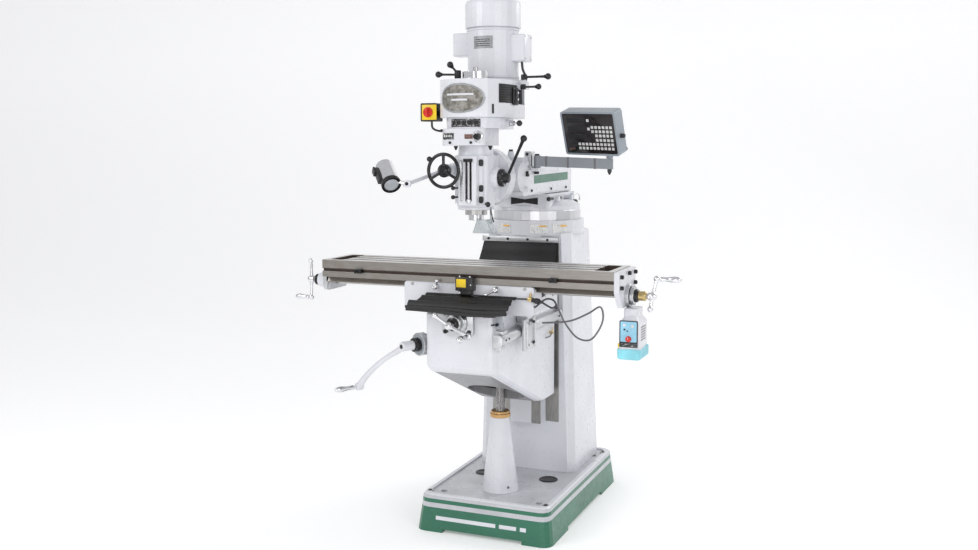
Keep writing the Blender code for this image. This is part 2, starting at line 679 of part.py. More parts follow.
def table_bracket_right():
    right = TABLE_X + TABLE_LENGTH / 2 + GAP
    front, back = TABLE_Y - TABLE_WIDTH / 2, TABLE_Y + TABLE_WIDTH / 2
    outline = [(front, 1.126), (front, 1.050), (front + 0.050, 0.990), (back - 0.050, 0.990),
               (back, 1.050),
               (back, 1.126)]
    plate = prism("X", outline, right, right + 0.020)
    barrel = turned((right + 0.010, TABLE_Y, X_SCREW_Z), (1, 0, 0),
                    [(0.0, 0.043), (0.020, 0.043), (0.024, 0.040)], 20)
    unite(plate, barrel)
    for y in (front + 0.018, back - 0.018):
        for z in (1.068, 1.108):
            unite(plate, turned((right + 0.015, y, z), (1, 0, 0), [(0.0, 0.006), (0.010, 0.006)], 6))
    return cut(plate, rod((right - 0.02, TABLE_Y, X_SCREW_Z), (right + 0.1, TABLE_Y, X_SCREW_Z),
                          0.0137, 16))


def stop_dog(x):
    front = TABLE_Y - TABLE_WIDTH / 2
    clamp = block((x - 0.016, front - 0.014, 1.079), (x + 0.016, front - GAP, 1.096), 0.004, "Y")
    key = block((x - 0.014, front - 0.002, 1.0825), (x + 0.014, front + 0.0085, 1.0925))
    nut = turned((x, front - 0.012, 1.0875), (0, -1, 0), [(0.0, 0.008), (0.012, 0.007)], 8)
    return unite(clamp, key, nut)


def power_feed():
    """Gear case, motor case and rubber-booted foot of the table's power feed."""
    right = TABLE_X + TABLE_LENGTH / 2
    low_x, high_x = right + 0.006, right + 0.082
    front, back = TABLE_Y - 0.066, TABLE_Y + 0.066
    middle = ((low_x + high_x) / 2, TABLE_Y)

    def outline(half_x, half_y):
        return rounded(half_x, half_y, 0.010, middle, 2)

    half_x, half_y = (high_x - low_x) / 2, (back - front) / 2
    return loft("Z", [(0.800, outline(half_x + 0.002, half_y)), (0.806,
                                                                 outline(half_x + 0.006, half_y + 0.004)),
                      (0.838, outline(half_x + 0.006, half_y + 0.004)), (0.842, outline(half_x, half_y)),
                      (0.935, outline(half_x, half_y)), (0.958, outline(half_x * 0.62, half_y * 0.62)),
                      (0.9865, outline(half_x * 0.60, half_y * 0.60))])


def feed_knob():
    x = TABLE_X + TABLE_LENGTH / 2 + 0.044
    y = TABLE_Y - 0.066 - GAP
    return turned((x, y, 0.878), (0, -1, 0), [(0.0, 0.011), (0.010, 0.010), (0.013, 0.008)], 14)


def x_leadscrew():
    """Table screw with a collar at its left end and the turning dial at its right end."""
    left_stub = 0.1075
    end = left_stub + TABLE_LENGTH
    return turned((TABLE_X - TABLE_LENGTH / 2 - left_stub, TABLE_Y, X_SCREW_Z), (1, 0, 0),
                  [(0.0, 0.009), (0.0075, 0.009), (0.0075, 0.020), (0.010, 0.022), (0.0255, 0.022),
                   (0.0255, LEAD_SCREW_RADIUS), (end + 0.036, LEAD_SCREW_RADIUS), (end + 0.036, 0.034),
                   (end + 0.050, 0.034), (end + 0.050, 0.017), (end + 0.090, 0.017),
                   (end + 0.090, 0.009), (end + 0.0985, 0.009)], 16)


def with_grip(crank, tip, axis, length):
    """Crank whose grip stays on its pin."""
    return unite(crank, crank_grip(Vector(tip) + Vector(axis) * 0.012, axis, length))


def x_crank_left():
    hub = Vector((TABLE_X - TABLE_LENGTH / 2 - 0.123, TABLE_Y, X_SCREW_Z))
    tip = hub + Vector((-0.004, 0.0, -0.077))
    return with_grip(ball_crank(hub, (-1, 0, 0), tip, hub + Vector((-0.002, 0.0, 0.076))), tip,
                     (-1, 0, 0), 0.064)


def x_crank_right():
    hub = Vector((TABLE_X + TABLE_LENGTH / 2 + 0.114, TABLE_Y, X_SCREW_Z))
    tip = hub + Vector((0.010, 0.028, 0.062))
    return with_grip(ball_crank(hub, (1, 0, 0), tip, hub + Vector((-0.002, -0.020, -0.045))), tip,
                     (1, 0, 0), 0.080)


# ---------------------------------------------------------------- turret, ram and adapter
def turret():
    low = FLANGE_TOP + GAP
    body = turned((0.0, SWIVEL_Y, low), (0, 0, 1),
                  [(0.0, TURRET_RING_RADIUS), (1.303 - low, TURRET_RING_RADIUS),
                   (1.305 - low, TURRET_RING_RADIUS - 0.003),
                   (1.325 - low, TURRET_RING_RADIUS - 0.003), (1.348 - low, 0.150)], 32)
    saddle = block((-0.118, 0.262, 1.318), (0.118, 0.632, TURRET_TOP), 0.012, "Z")
    tongue = [(0.060, TURRET_TOP - 0.005), (0.074, TURRET_TOP + 0.020)]
    tongue = mirrored(tongue)
    unite(body, saddle, prism("Y", tongue, 0.266, 0.628))
    for x, y, z in ((0.112, 0.300, 1.357), (0.112, 0.480, 1.357)):
        unite(body, turned((x, y, z), (1, 0, 0), [(0.0, 0.009), (0.030, 0.009), (0.030, 0.012),
                                                  (0.042, 0.012)], 6))
    return body


def ram():
    low = TURRET_TOP + GAP
    body = block((-RAM_HALF_WIDTH, RAM_FACE + 0.02, low), (RAM_HALF_WIDTH, RAM_REAR, RAM_TOP), 0.014, "Y")
    flange = block((-RAM_HALF_WIDTH - 0.003, RAM_FACE, low + 0.002),
                   (RAM_HALF_WIDTH + 0.003, RAM_FACE + 0.052, 1.536),
                   0.012, "X")
    cheek = turned((-RAM_HALF_WIDTH - 0.003, NOD_Y, SWING_Z), (1, 0, 0),
                   [(0.0, 0.060), (2 * RAM_HALF_WIDTH + 0.006, 0.060)], 24)
    unite(body, flange, cheek)
    slot = block((-0.0625, -0.3, 1.2), (0.0625, 0.022, 1.7))
    tongue = [(0.060 + GAP, TURRET_TOP - 0.02), (0.074 + GAP, TURRET_TOP + 0.020 + GAP)]
    tongue = mirrored(tongue)
    cut(body, slot, prism("Y", tongue, 0.0, 0.9))
    for y, z in ((-0.020, 1.512), (-0.020, 1.410), (0.000, 1.476)):
        head = turned((RAM_HALF_WIDTH - 0.004, y, z), (1, 0, 0), [(0.0, 0.010), (0.020, 0.010)], 6)
        unite(body, head)
    bracket = block((RAM_HALF_WIDTH - 0.004, 0.066, 1.478), (RAM_HALF_WIDTH + 0.026, 0.118, 1.492),
                    0.004, "X")
    return unite(body, bracket)


def ram_adapter():
    tongue = turned((-0.062, NOD_Y, SWING_Z), (1, 0, 0), [(0.0, 0.058), (0.124, 0.058)], 24)
    neck = block((-0.062, JOINT_FACE_Y + 0.02, SWING_Z - 0.050), (0.062, NOD_Y, SWING_Z + 0.050))
    plate = turned((0.0, JOINT_FACE_Y + GAP, SWING_Z), (0, 1, 0),
                   [(0.0, JOINT_RADIUS), (0.030, JOINT_RADIUS), (0.034, JOINT_RADIUS - 0.004)], 28)
    return unite(plate, neck, tongue)


def dro_arm():
    """Square tube that carries the display; it droops a little from its pin at the ram."""
    reach = (DISPLAY_PIN - DISPLAY_ARM_PIN).length
    top = [(-0.008, 1.541), (reach + 0.014, 1.5283)]
    tube = prism("Y", top + [(x, z - 0.042) for x, z in top[::-1]], -0.012, 0.012)
    hinge = turned((0.0, 0.0, 1.492 + GAP), (0, 0, 1), [(0.0, 0.014), (0.050, 0.014)], 14)
    pin = turned((reach, 0.0, 1.476), (0, 0, 1), [(0.0, 0.009), (0.054, 0.009)], 12)
    unite(tube, hinge, pin)
    run = DISPLAY_PIN - DISPLAY_ARM_PIN
    tube.data.transform(Matrix.Translation(DISPLAY_ARM_PIN) @ Matrix.Rotation(math.atan2(run.y,
                                                                                         run.x), 4, "Z"))
    return tube


def dro_display():
    """Display case, turned and tipped towards the operator about its lower left corner."""
    case = block((0.0, 0.0, 0.0), DISPLAY_SIZE, 0.010, "Y")
    window = block((0.008, -0.010, 0.008), (DISPLAY_SIZE[0] - 0.008, 0.0025, DISPLAY_SIZE[2] - 0.008),
                   0.006, "Y")
    cut(case, window)
    turn = (Matrix.Rotation(DISPLAY_YAW, 4, "Z") @ Matrix.Rotation(DISPLAY_ROLL, 4, "Y")
            @ Matrix.Rotation(DISPLAY_TILT, 4, "X"))
    case.data.transform(Matrix.Translation(DISPLAY_CORNER) @ turn)
    foot = turned((DISPLAY_PIN.x, DISPLAY_PIN.y, 1.530 + GAP), (0, 0, 1),
                  [(0.0, 0.014), (0.032, 0.014)], 12)
    return unite(case, foot)


# ---------------------------------------------------------------- head
def two_lobes(front_radius, rear_radius, rear_y, steps=11):
    """Outline round the spindle in front and round a second centre behind it."""
    lean = math.degrees(math.asin((front_radius - rear_radius) / (rear_y - SPINDLE_Y)))
    front = arc((0.0, SPINDLE_Y), front_radius, 180 - lean, 360 + lean, steps)
    rear = arc((0.0, rear_y), rear_radius, lean, 180 - lean, steps)
    return front + rear


def spindle_bore(radius, low, high, sides=20):
    return turned((0.0, SPINDLE_Y, low), (0, 0, 1), [(0.0, radius), (high - low, radius)], sides)


def quill_head():
    barrel = spindle_bore(0.074, HEAD_BOTTOM, 1.547, 24)
    cheek = block((-0.070, -0.300, HEAD_BOTTOM + 0.012), (0.070, JOINT_FACE_Y - 0.012, 1.545), 0.012)
    flange = turned((0.0, JOINT_FACE_Y - 0.028, SWING_Z), (0, 1, 0),
                    [(0.0, JOINT_RADIUS - 0.004), (0.004, JOINT_RADIUS), (0.028, JOINT_RADIUS)], 28)
    front = block((-0.036, -0.338, 1.358), (0.040, SPINDLE_Y, 1.543), 0.006)
    neck = turned((0.0, SPINDLE_Y, 1.530), (0, 0, 1),
                  [(0.0, 0.0715), (0.026, 0.068), (HEAD_NECK_TOP - GAP - 1.530, 0.066)], 24)
    quill_boss = turned((0.030, QUILL_SHAFT.y, QUILL_SHAFT.z), (1, 0, 0),
                        [(0.0, 0.046), (0.055, 0.042), (0.066, 0.036)], 16)
    wheel_boss = turned((HANDWHEEL.x, -0.220, HANDWHEEL.z), (0, -1, 0),
                        [(0.0, 0.026), (0.110, 0.024), (0.118, 0.020)], 16)
    collar = spindle_bore(0.060, 1.338, HEAD_BOTTOM + 0.017, 22)
    lamp_socket = block((-0.126, LAMP_BASE.y - 0.012, 1.488), (-0.098, LAMP_BASE.y + 0.0145, 1.512))
    unite(barrel, cheek, flange, front, neck, quill_boss, wheel_boss, collar, lamp_socket)
    slot = block((-0.006, -0.345, 1.372), (0.022, -0.326, 1.530), 0.005, "Y")
    cut(barrel, slot)
    stop_screw = turned((0.008, -0.3345, 1.366), (0, 0, 1), [(0.0, 0.0045), (0.170, 0.0045)], 10)
    unite(barrel, stop_screw)
    cut(barrel, spindle_bore(QUILL_RADIUS + 0.0006, 1.30, 1.532), spindle_bore(0.0180, 1.50, 1.70, 20))
    shaft_hole = rod((0.060, QUILL_SHAFT.y, QUILL_SHAFT.z), (0.20, QUILL_SHAFT.y, QUILL_SHAFT.z),
                     0.0125, 12)
    wheel_hole = rod((HANDWHEEL.x, -0.300, HANDWHEEL.z), (HANDWHEEL.x, -0.45, HANDWHEEL.z), 0.0085, 12)
    return cut(barrel, shaft_hole, wheel_hole)


def feed_gearbox():
    box = block((-0.100, -0.352, HEAD_NECK_TOP), (0.074, -0.172, FEED_BOX_TOP - GAP), 0.024, "Z", 3)
    return cut(box, spindle_bore(0.0180, 1.5, 1.7, 20), feed_knob_hole())


def feed_knob_hole():
    return rod((FEED_KNOB_X, -0.30, FEED_KNOB_Z), (FEED_KNOB_X, -0.40, FEED_KNOB_Z), 0.0075, 10)


def feed_rate_knob():
    return turned((FEED_KNOB_X, -0.336, FEED_KNOB_Z), (0, -1, 0),
                  [(0.0, 0.0065), (0.0165, 0.0065), (0.0165, 0.021), (0.024, 0.021), (0.028, 0.012),
                   (0.044, 0.010), (0.046, 0.008)], 16)


def back_gear_housing():
    box = prism("Z", two_lobes(0.112, 0.096, -0.110), FEED_BOX_TOP, BACK_GEAR_TOP - GAP)
    bolt = rod((0.070, -0.190, 1.668), (0.118, -0.190, 1.668), 0.014, 12)
    unite(box, bolt)
    return cut(box, spindle_bore(0.0180, 1.6, 1.8, 20),
               rod((0.100, -0.190, 1.668), (0.14, -0.190, 1.668), 0.0065, 10))


def belt_housing():
    wall = 0.010
    box = prism("Z", two_lobes(0.136, 0.126, MOTOR_Y), BACK_GEAR_TOP, BELT_BOX_TOP - GAP)
    inside = prism("Z", two_lobes(0.136 - wall, 0.126 - wall, MOTOR_Y), BACK_GEAR_TOP + wall,
                   BELT_BOX_TOP - wall)
    ring = turned((0.0, SPINDLE_Y, BELT_BOX_TOP - 0.005), (0, 0, 1),
                  [(0.0, 0.050), (0.034, 0.050), (0.037, 0.046)], 20)
    window = block((0.060, -0.160, 1.742), (0.2, -0.010, 1.812), 0.012, "X")
    shaft_hole = turned((0.0, MOTOR_Y, 1.80), (0, 0, 1), [(0.0, 0.030), (0.1, 0.030)], 16)
    lug = block((0.095, -0.125, 1.800), (0.158, -0.075, BELT_BOX_TOP - GAP), 0.008)
    lever_post = turned((0.143, -0.100, BELT_BOX_TOP - 0.008), (0, 0, 1),
                        [(0.0, 0.010), (0.014, 0.010)], 10)
    tension_boss = block((0.118, -0.162, 1.797), (0.1475, -0.138, 1.815), 0.004, "X")
    brake_post = turned((-0.072, -0.250, BELT_BOX_TOP - 0.008), (0, 0, 1),
                        [(0.0, 0.011), (0.014, 0.011)], 10)
    cut(box, inside, window, shaft_hole)
    unite(box, ring, brake_post, lug, lever_post, tension_boss)
    return cut(box, spindle_bore(0.0180, 1.6, 1.9, 20))


def pulley_stations(steps):
    """V grooves of four sizes, one above the other."""
    stations = []
    for i, radius in enumerate(steps):
        low = i * STEP_HEIGHT
        stations += [(low, radius), (low + STEP_HEIGHT / 2, radius - STEP_GROOVE),
                     (low + STEP_HEIGHT - 0.001, radius)]
    return stations


def spindle_pulley():
    body = turned((0.0, SPINDLE_Y, PULLEY_BOTTOM), (0, 0, 1), pulley_stations(SPINDLE_STEPS), 20)
    return cut(body, spindle_bore(0.0165, 1.6, 1.9, 20))


def motor_pulley():
    """Step pulley on the motor's shaft end."""
    top = 4 * STEP_HEIGHT
    stations = pulley_stations(MOTOR_STEPS) + [(top, 0.0120), (top + 0.080, 0.0120)]
    return turned((0.0, MOTOR_Y, PULLEY_BOTTOM), (0, 0, 1), stations, 20)


def motor_body():
    body = turned((0.0, MOTOR_Y, BELT_BOX_TOP), (0, 0, 1),
                  [(0.0, 0.113), (0.010, 0.113), (0.014, MOTOR_RADIUS),
                   (MOTOR_TOP - GAP - BELT_BOX_TOP, MOTOR_RADIUS)], 28)
    left = block((-0.158, MOTOR_Y - 0.034, 1.936), (-0.090, MOTOR_Y + 0.034, 2.026), 0.006, "X")
    right = block((0.090, MOTOR_Y - 0.042, 1.908), (0.146, MOTOR_Y + 0.042, 2.012), 0.006, "X")
    unite(body, left, right)
    hollow = turned((0.0, MOTOR_Y, 1.80), (0, 0, 1), [(0.0, 0.016), (0.10, 0.016)], 16)
    return cut(body, hollow)


def fan_cover():
    return turned((0.0, MOTOR_Y, MOTOR_TOP), (0, 0, 1),
                  [(0.0, FAN_COVER_RADIUS), (0.094, FAN_COVER_RADIUS), (0.103, FAN_COVER_RADIUS - 0.005),
                   (MACHINE_TOP - MOTOR_TOP, FAN_COVER_RADIUS - 0.016)], 28)


def switch_box():
    """Main switch case at the belt housing's left, on its bracket."""
    case = block((-0.212, -0.292, 1.676), (-0.146, -0.232, 1.746), 0.004, "Y")
    bracket = block((-0.150, -0.262, 1.692), (-0.138, -0.232, 1.712))
    return unite(case, bracket)


def switch_knob():
    return turned((-0.179, -0.292 - GAP, 1.711), (0, -1, 0),
                  [(0.0, 0.017), (0.012, 0.016), (0.016, 0.012)], 16)


def chip_guard():
    """Clear two-sided shield and its hanger under the head's right side."""
    low, high = 1.250, 1.303
    pane = prism("Y", [(0.026, high), (0.064, high), (0.093, low), (0.008, low)], -0.2985, -0.2955)
    wing = prism("Y", [(0.061, high), (0.064, high), (0.093, low), (0.090, low)], -0.2965, -0.255)
    hanger = rod((0.068, -0.262, HEAD_BOTTOM - 0.001), (0.0725, -0.270, 1.285), 0.004, 8)
    return unite(pane, wing, hanger)


def quill():
    body = spindle_bore(QUILL_RADIUS, QUILL_BOTTOM, 1.520)
    return cut(body, spindle_bore(0.0208, 1.3, 1.6))


def spindle():
    low = 1.297
    return turned((0.0, SPINDLE_Y, low), (0, 0, 1),
                  [(0.0, 0.026), (0.004, 0.030), (QUILL_BOTTOM - GAP - low, 0.030),
                   (QUILL_BOTTOM - GAP - low, 0.0200),
                   (1.521 - low, 0.0200), (1.521 - low, 0.0150), (1.862 - low, 0.0150), (1.862 - low,
                                                                                         0.009),
                   (1.880 - low, 0.009)], 20)


def handwheel():
    rim = ring_bar(HANDWHEEL, (0, 1, 0), 0.062, 0.0065)
    hub = turned(HANDWHEEL + Vector((0.0, 0.050, 0.0)), (0, -1, 0),
                 [(0.0, 0.0078), (0.0395, 0.0078), (0.0395, 0.017), (0.060, 0.017), (0.064, 0.012)], 16)
    for turn in (90, 210, 330):
        a = math.radians(turn)
        tip = HANDWHEEL + Vector((math.cos(a), 0.0, math.sin(a))) * 0.062
        unite(hub, rod(HANDWHEEL, tip, 0.0055, 8))
    unite(rim, hub)
    a = math.radians(135)
    grip = HANDWHEEL + Vector((math.cos(a), 0.0, math.sin(a))) * 0.062
    return unite(rim, ball_lever(grip, grip + Vector((0.0, -0.030, 0.0)), 0.0045, 0.0105, 10))


def quill_lever():
    hub = turned((0.066, QUILL_SHAFT.y, QUILL_SHAFT.z), (1, 0, 0),
                 [(0.0, 0.0115), (0.0305, 0.0115), (0.0305, 0.034), (0.044, 0.034), (0.048, 0.030),
                  (0.048, 0.020),
                  (0.066, 0.018), (0.068, 0.015)], 20)
    return unite(hub, ball_lever((0.124, QUILL_SHAFT.y, QUILL_SHAFT.z), (0.150, -0.122, 1.610),
                                 0.0055, 0.0135))


def brake_lever():
    hub = turned((-0.072, -0.250, BELT_BOX_TOP + 0.006 + GAP), (0, 0, 1),
                 [(0.0, 0.013), (0.030, 0.013), (0.033, 0.010)], 12)
    unite(hub, ball_lever((-0.072, -0.250, 1.853), (-0.154, -0.250, 1.856), 0.0042, 0.0125, 10))
    return unite(hub, ball_lever((-0.072, -0.250, 1.858), (-0.094, -0.272, 1.890), 0.0042, 0.0125, 10))


def speed_lever():
    hub = turned((0.143, -0.100, BELT_BOX_TOP + 0.006 + GAP), (0, 0, 1),
                 [(0.0, 0.0125), (0.018, 0.0125), (0.021, 0.010)], 12)
    return unite(hub, ball_lever((0.143, -0.100, 1.847), (0.2415, -0.100, 1.847), 0.0042, 0.0125, 10))


def belt_tension_lever():
    hub = turned((0.1585, -0.150, 1.7965), (0, 0, 1), [(0.0, 0.010), (0.0195, 0.010)], 12)
    return unite(hub, ball_lever((0.1585, -0.150, 1.806), (0.221, -0.150, 1.806), 0.0040, 0.0115, 10))


def drive_belt():
    """V-belt round the two step pulleys' lowest grooves, clear of both."""
    low = PULLEY_BOTTOM + STEP_HEIGHT / 2 - 0.0026
    inner, depth = 0.0024, 0.0070

    def loop(extra):
        spindle_groove = SPINDLE_STEPS[0] - STEP_GROOVE + extra
        motor_groove = MOTOR_STEPS[0] - STEP_GROOVE + extra
        lean = math.degrees(math.asin((spindle_groove - motor_groove) / (MOTOR_Y - SPINDLE_Y)))
        front = arc((0.0, SPINDLE_Y), spindle_groove, 180 - lean, 360 + lean, 12)
        return front + arc((0.0, MOTOR_Y), motor_groove, lean, 180 - lean, 12)

    outer = prism("Z", loop(inner + depth), low, low + 0.0052)
    return cut(outer, prism("Z", loop(inner), low - 0.01, low + 0.02))


def back_gear_lever():
    stem = turned((0.106, -0.190, 1.668), (1, 0, 0), [(0.0, 0.0055), (0.018, 0.0055), (0.018, 0.011),
                                                      (0.030, 0.010)], 12)
    return unite(stem, ball_lever((0.128, -0.190, 1.668), (0.181, -0.250, 1.666), 0.0038, 0.0115, 10))


# ---------------------------------------------------------------- work lamp
def lamp_arm():
    hub = turned(LAMP_BASE - Vector((0.0, 0.0, 0.014)), (0, 0, 1), [(0.0, 0.011), (0.028, 0.011)], 14)
    elbow = turned(LAMP_JOINT, (1, 0, 0), [(GAP, 0.011), (0.014, 0.011)], 14)
    return unite(hub, rod(LAMP_BASE, LAMP_JOINT + Vector((0.007, 0.0, 0.0)), 0.0075, 10), elbow)


def lamp_head():
    back = LAMP_LENS - LAMP_AXIS * LAMP_LENGTH
    body = turned(back, LAMP_AXIS,
                  [(0.0, LAMP_RADIUS - 0.010), (0.008, LAMP_RADIUS - 0.001), (0.085, LAMP_RADIUS - 0.001),
                   (0.085, LAMP_RADIUS), (LAMP_LENGTH, LAMP_RADIUS)], 20)
    mouth = turned(LAMP_LENS - LAMP_AXIS * 0.010, LAMP_AXIS,
                   [(0.0, LAMP_RADIUS - 0.007), (0.03, LAMP_RADIUS - 0.004)], 18)
    cut(body, mouth)
    lug = turned(LAMP_JOINT, (-1, 0, 0), [(GAP, 0.011), (0.012, 0.011)], 14)
    strut = rod(LAMP_JOINT + Vector((-0.006, 0.0, 0.0)), LAMP_LENS - LAMP_AXIS * 0.035, 0.0075, 10)
    unite(lug, strut)
    core = turned(back, LAMP_AXIS, [(0.002, LAMP_RADIUS - 0.011), (LAMP_LENGTH - 0.008,
                                                                   LAMP_RADIUS - 0.011)], 18)
    return unite(body, lug, core)


# ---------------------------------------------------------------- the assembly
def build():
    clear_scene()
    make_finishes()

    root = make_pivot("root", (0.0, 0.0, 0.0))
    add_piece(base_casting(), "base_casting", root, "green_paint")
    add_piece(column(), "column", root, "white_paint")
    add_piece(screw_pedestal(), "screw_pedestal", root, "white_paint")
    add_piece(elevating_nut(), "elevating_nut", root, "bronze")
    add_piece(way_cover_strip(), "way_cover_strip", root, "cast_aluminium")
    add_piece(rear_way_cover(), "rear_way_cover", root, "rubber")

    knee = make_pivot("knee", (0.0, 0.0, 0.0), root)
    add_piece(knee_casting(), "knee_casting", knee, "white_paint")
    add_piece(y_screw_bearing(), "y_screw_bearing", knee, "grey_case")
    add_piece(knee_crank_bearing(), "knee_crank_bearing", knee, "white_paint")
    add_piece(y_scale(), "y_scale", knee, "cast_aluminium")
    screw = make_pivot("elevating_screw", (0.0, 0.0, 0.5), knee)
    add_piece(elevating_screw(), "elevating_screw", screw, "ground_steel")
    crank = make_pivot("knee_crank", crank_point(KNEE_CRANK_HUB), knee)
    add_piece(knee_crank(), "knee_crank", crank, "white_paint")
    grip = make_pivot("knee_crank_grip", crank_pin_place(), crank)
    add_piece(knee_crank_grip(), "knee_crank_grip", grip, "chrome")
    cross = make_pivot("y_crank", (0.0, KNEE_FRONT - 0.093, Y_SCREW_Z), knee)
    add_piece(y_leadscrew(), "y_leadscrew", cross, "ground_steel")
    add_piece(y_crank(), "y_crank", cross, "chrome")
    grip = make_pivot("y_crank_grip", (0.083, KNEE_FRONT - 0.103, Y_SCREW_Z - 0.032), cross)
    add_piece(y_crank_grip(), "y_crank_grip", grip, "chrome")

    saddle = make_pivot("saddle", (0.0, 0.0, 0.0), knee)
    add_piece(saddle_casting(), "saddle_casting", saddle, "white_paint")
    add_piece(front_way_cover(), "front_way_cover", saddle, "rubber")
    add_piece(limit_switch(), "limit_switch", saddle, "black_plastic")
    add_piece(y_scale_reader(), "y_scale_reader", saddle, "cast_aluminium")
    locks = (("table_lock_left", -0.129, 1.043, (-0.118, -0.357, 1.066)),
             ("table_lock_right", 0.123, 1.042, (0.090, -0.366, 1.024)))
    for name, x, z, tip in locks:
        lock = make_pivot(name, (x, SADDLE_FRONT, z), saddle)
        add_piece(table_lock(x, z, tip), name, lock, "chrome")

    slide = make_pivot("table", (0.0, 0.0, 0.0), saddle)
    add_piece(table(), "table", slide, "ground_steel")
    add_piece(table_bracket_left(), "table_bracket_left", slide, "grey_case")
    add_piece(table_bracket_right(), "table_bracket_right", slide, "white_paint")
    add_piece(stop_dog(-0.471), "stop_dog_left", slide, "black_steel")
    add_piece(stop_dog(0.350), "stop_dog_right", slide, "black_steel")
    add_piece(power_feed(), "power_feed", slide, "white_paint")
    knob = make_pivot("feed_knob", (TABLE_X + TABLE_LENGTH / 2 + 0.044, TABLE_Y, 0.878), slide)
    add_piece(feed_knob(), "feed_knob", knob, "red_plastic")
    long_screw = make_pivot("x_screw", (0.0, TABLE_Y, X_SCREW_Z), slide)
    add_piece(x_leadscrew(), "x_leadscrew", long_screw, "ground_steel")
    add_piece(x_crank_left(), "x_crank_left", long_screw, "chrome")
    add_piece(x_crank_right(), "x_crank_right", long_screw, "chrome")

    swivel = make_pivot("turret", (0.0, SWIVEL_Y, FLANGE_TOP), root)
    add_piece(turret(), "turret", swivel, "white_paint")
    arm = make_pivot("ram", (0.0, 0.0, 0.0), swivel)
    add_piece(ram(), "ram", arm, "white_paint")
    readout_arm = make_pivot("dro_arm", DISPLAY_ARM_PIN, arm)
    add_piece(dro_arm(), "dro_arm", readout_arm, "grey_case")
    readout = make_pivot("dro_display", DISPLAY_PIN, readout_arm)
    add_piece(dro_display(), "dro_display", readout, "grey_case")
    adapter = make_pivot("ram_adapter", (0.0, NOD_Y, SWING_Z), arm)
    add_piece(ram_adapter(), "ram_adapter", adapter, "white_paint")

    head = make_pivot("head", (0.0, JOINT_FACE_Y, SWING_Z), adapter)
    add_piece(quill_head(), "quill_head", head, "white_paint")
    add_piece(feed_gearbox(), "feed_gearbox", head, "white_paint")
    add_piece(back_gear_housing(), "back_gear_housing", head, "white_paint")
    add_piece(belt_housing(), "belt_housing", head, "white_paint")
    add_piece(drive_belt(), "drive_belt", head, "rubber")
    add_piece(motor_body(), "motor_body", head, "white_paint")
    add_piece(fan_cover(), "fan_cover", head, "white_paint")
    add_piece(switch_box(), "switch_box", head, "black_plastic")
    add_piece(chip_guard(), "chip_guard", head, "clear_plastic")
    quill_pivot = make_pivot("quill", (0.0, SPINDLE_Y, QUILL_BOTTOM), head)
    add_piece(quill(), "quill", quill_pivot, "ground_steel")
    spindle_pivot = make_pivot("spindle", (0.0, SPINDLE_Y, QUILL_BOTTOM), quill_pivot)
    add_piece(spindle(), "spindle", spindle_pivot, "ground_steel")

    turning = (("spindle_pulley", (0.0, SPINDLE_Y, PULLEY_BOTTOM), spindle_pulley, "cast_aluminium"),
               ("motor_pulley", (0.0, MOTOR_Y, PULLEY_BOTTOM), motor_pulley, "cast_aluminium"),
               ("handwheel", HANDWHEEL, handwheel, "black_steel"),
               ("quill_lever", QUILL_SHAFT, quill_lever, "black_steel"),
               ("brake_lever", (-0.072, -0.250, 1.850), brake_lever, "black_steel"),
               ("speed_lever", (0.143, -0.100, 1.847), speed_lever, "black_steel"),
               ("belt_tension_lever", (0.1585, -0.150, 1.806), belt_tension_lever, "black_steel"),
               ("back_gear_lever", (0.120, -0.190, 1.668), back_gear_lever, "black_steel"),
               ("feed_rate_knob", (FEED_KNOB_X, -0.352, FEED_KNOB_Z), feed_rate_knob, "black_steel"),
               ("switch_knob", (-0.179, -0.292, 1.711), switch_knob, "red_plastic"))
    for name, place, shape, finish in turning:
        add_piece(shape(), name, make_pivot(name, place, head), finish)

    lamp = make_pivot("lamp_arm", LAMP_BASE, head)
    add_piece(lamp_arm(), "lamp_arm", lamp, "white_paint")
    shade = make_pivot("lamp_head", LAMP_JOINT, lamp)
    add_piece(lamp_head(), "lamp_head", shade, "chrome")


build()
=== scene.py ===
"""Looks of the vertical turret milling machine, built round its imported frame.

Metres, +Z up, +X to the operator's right, the operator stands at -Y. Most pieces are drawn in
the machine's own layout, whose origin is the elevating screw's foot on the floor: layout()
gives a CAD node's box in it, and piece() moves what is built there to the frame.
"""
import math

import bmesh
import bpy
from mathutils import Matrix, Vector


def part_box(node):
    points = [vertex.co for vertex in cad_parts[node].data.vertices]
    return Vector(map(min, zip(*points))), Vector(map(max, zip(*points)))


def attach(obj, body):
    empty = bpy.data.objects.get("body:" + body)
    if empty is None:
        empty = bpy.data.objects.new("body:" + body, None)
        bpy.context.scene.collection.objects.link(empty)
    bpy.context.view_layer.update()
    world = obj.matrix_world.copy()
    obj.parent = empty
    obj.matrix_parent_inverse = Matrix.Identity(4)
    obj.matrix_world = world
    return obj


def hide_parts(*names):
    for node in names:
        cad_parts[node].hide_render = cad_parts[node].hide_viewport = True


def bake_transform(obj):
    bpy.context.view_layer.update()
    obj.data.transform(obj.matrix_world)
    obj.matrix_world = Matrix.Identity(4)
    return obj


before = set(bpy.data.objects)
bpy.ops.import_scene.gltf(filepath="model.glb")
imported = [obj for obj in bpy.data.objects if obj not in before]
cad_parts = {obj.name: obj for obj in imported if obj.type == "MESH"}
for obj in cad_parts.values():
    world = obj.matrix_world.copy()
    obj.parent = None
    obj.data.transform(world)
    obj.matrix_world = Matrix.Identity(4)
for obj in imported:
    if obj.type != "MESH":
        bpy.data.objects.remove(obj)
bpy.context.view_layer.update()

# ---------------------------------------------------------------- directions
RIGHT, LEFT = Vector((1, 0, 0)), Vector((-1, 0, 0))
FRONT = Vector((0, -1, 0))  # towards the operator
UP, DOWN = Vector((0, 0, 1)), Vector((0, 0, -1))

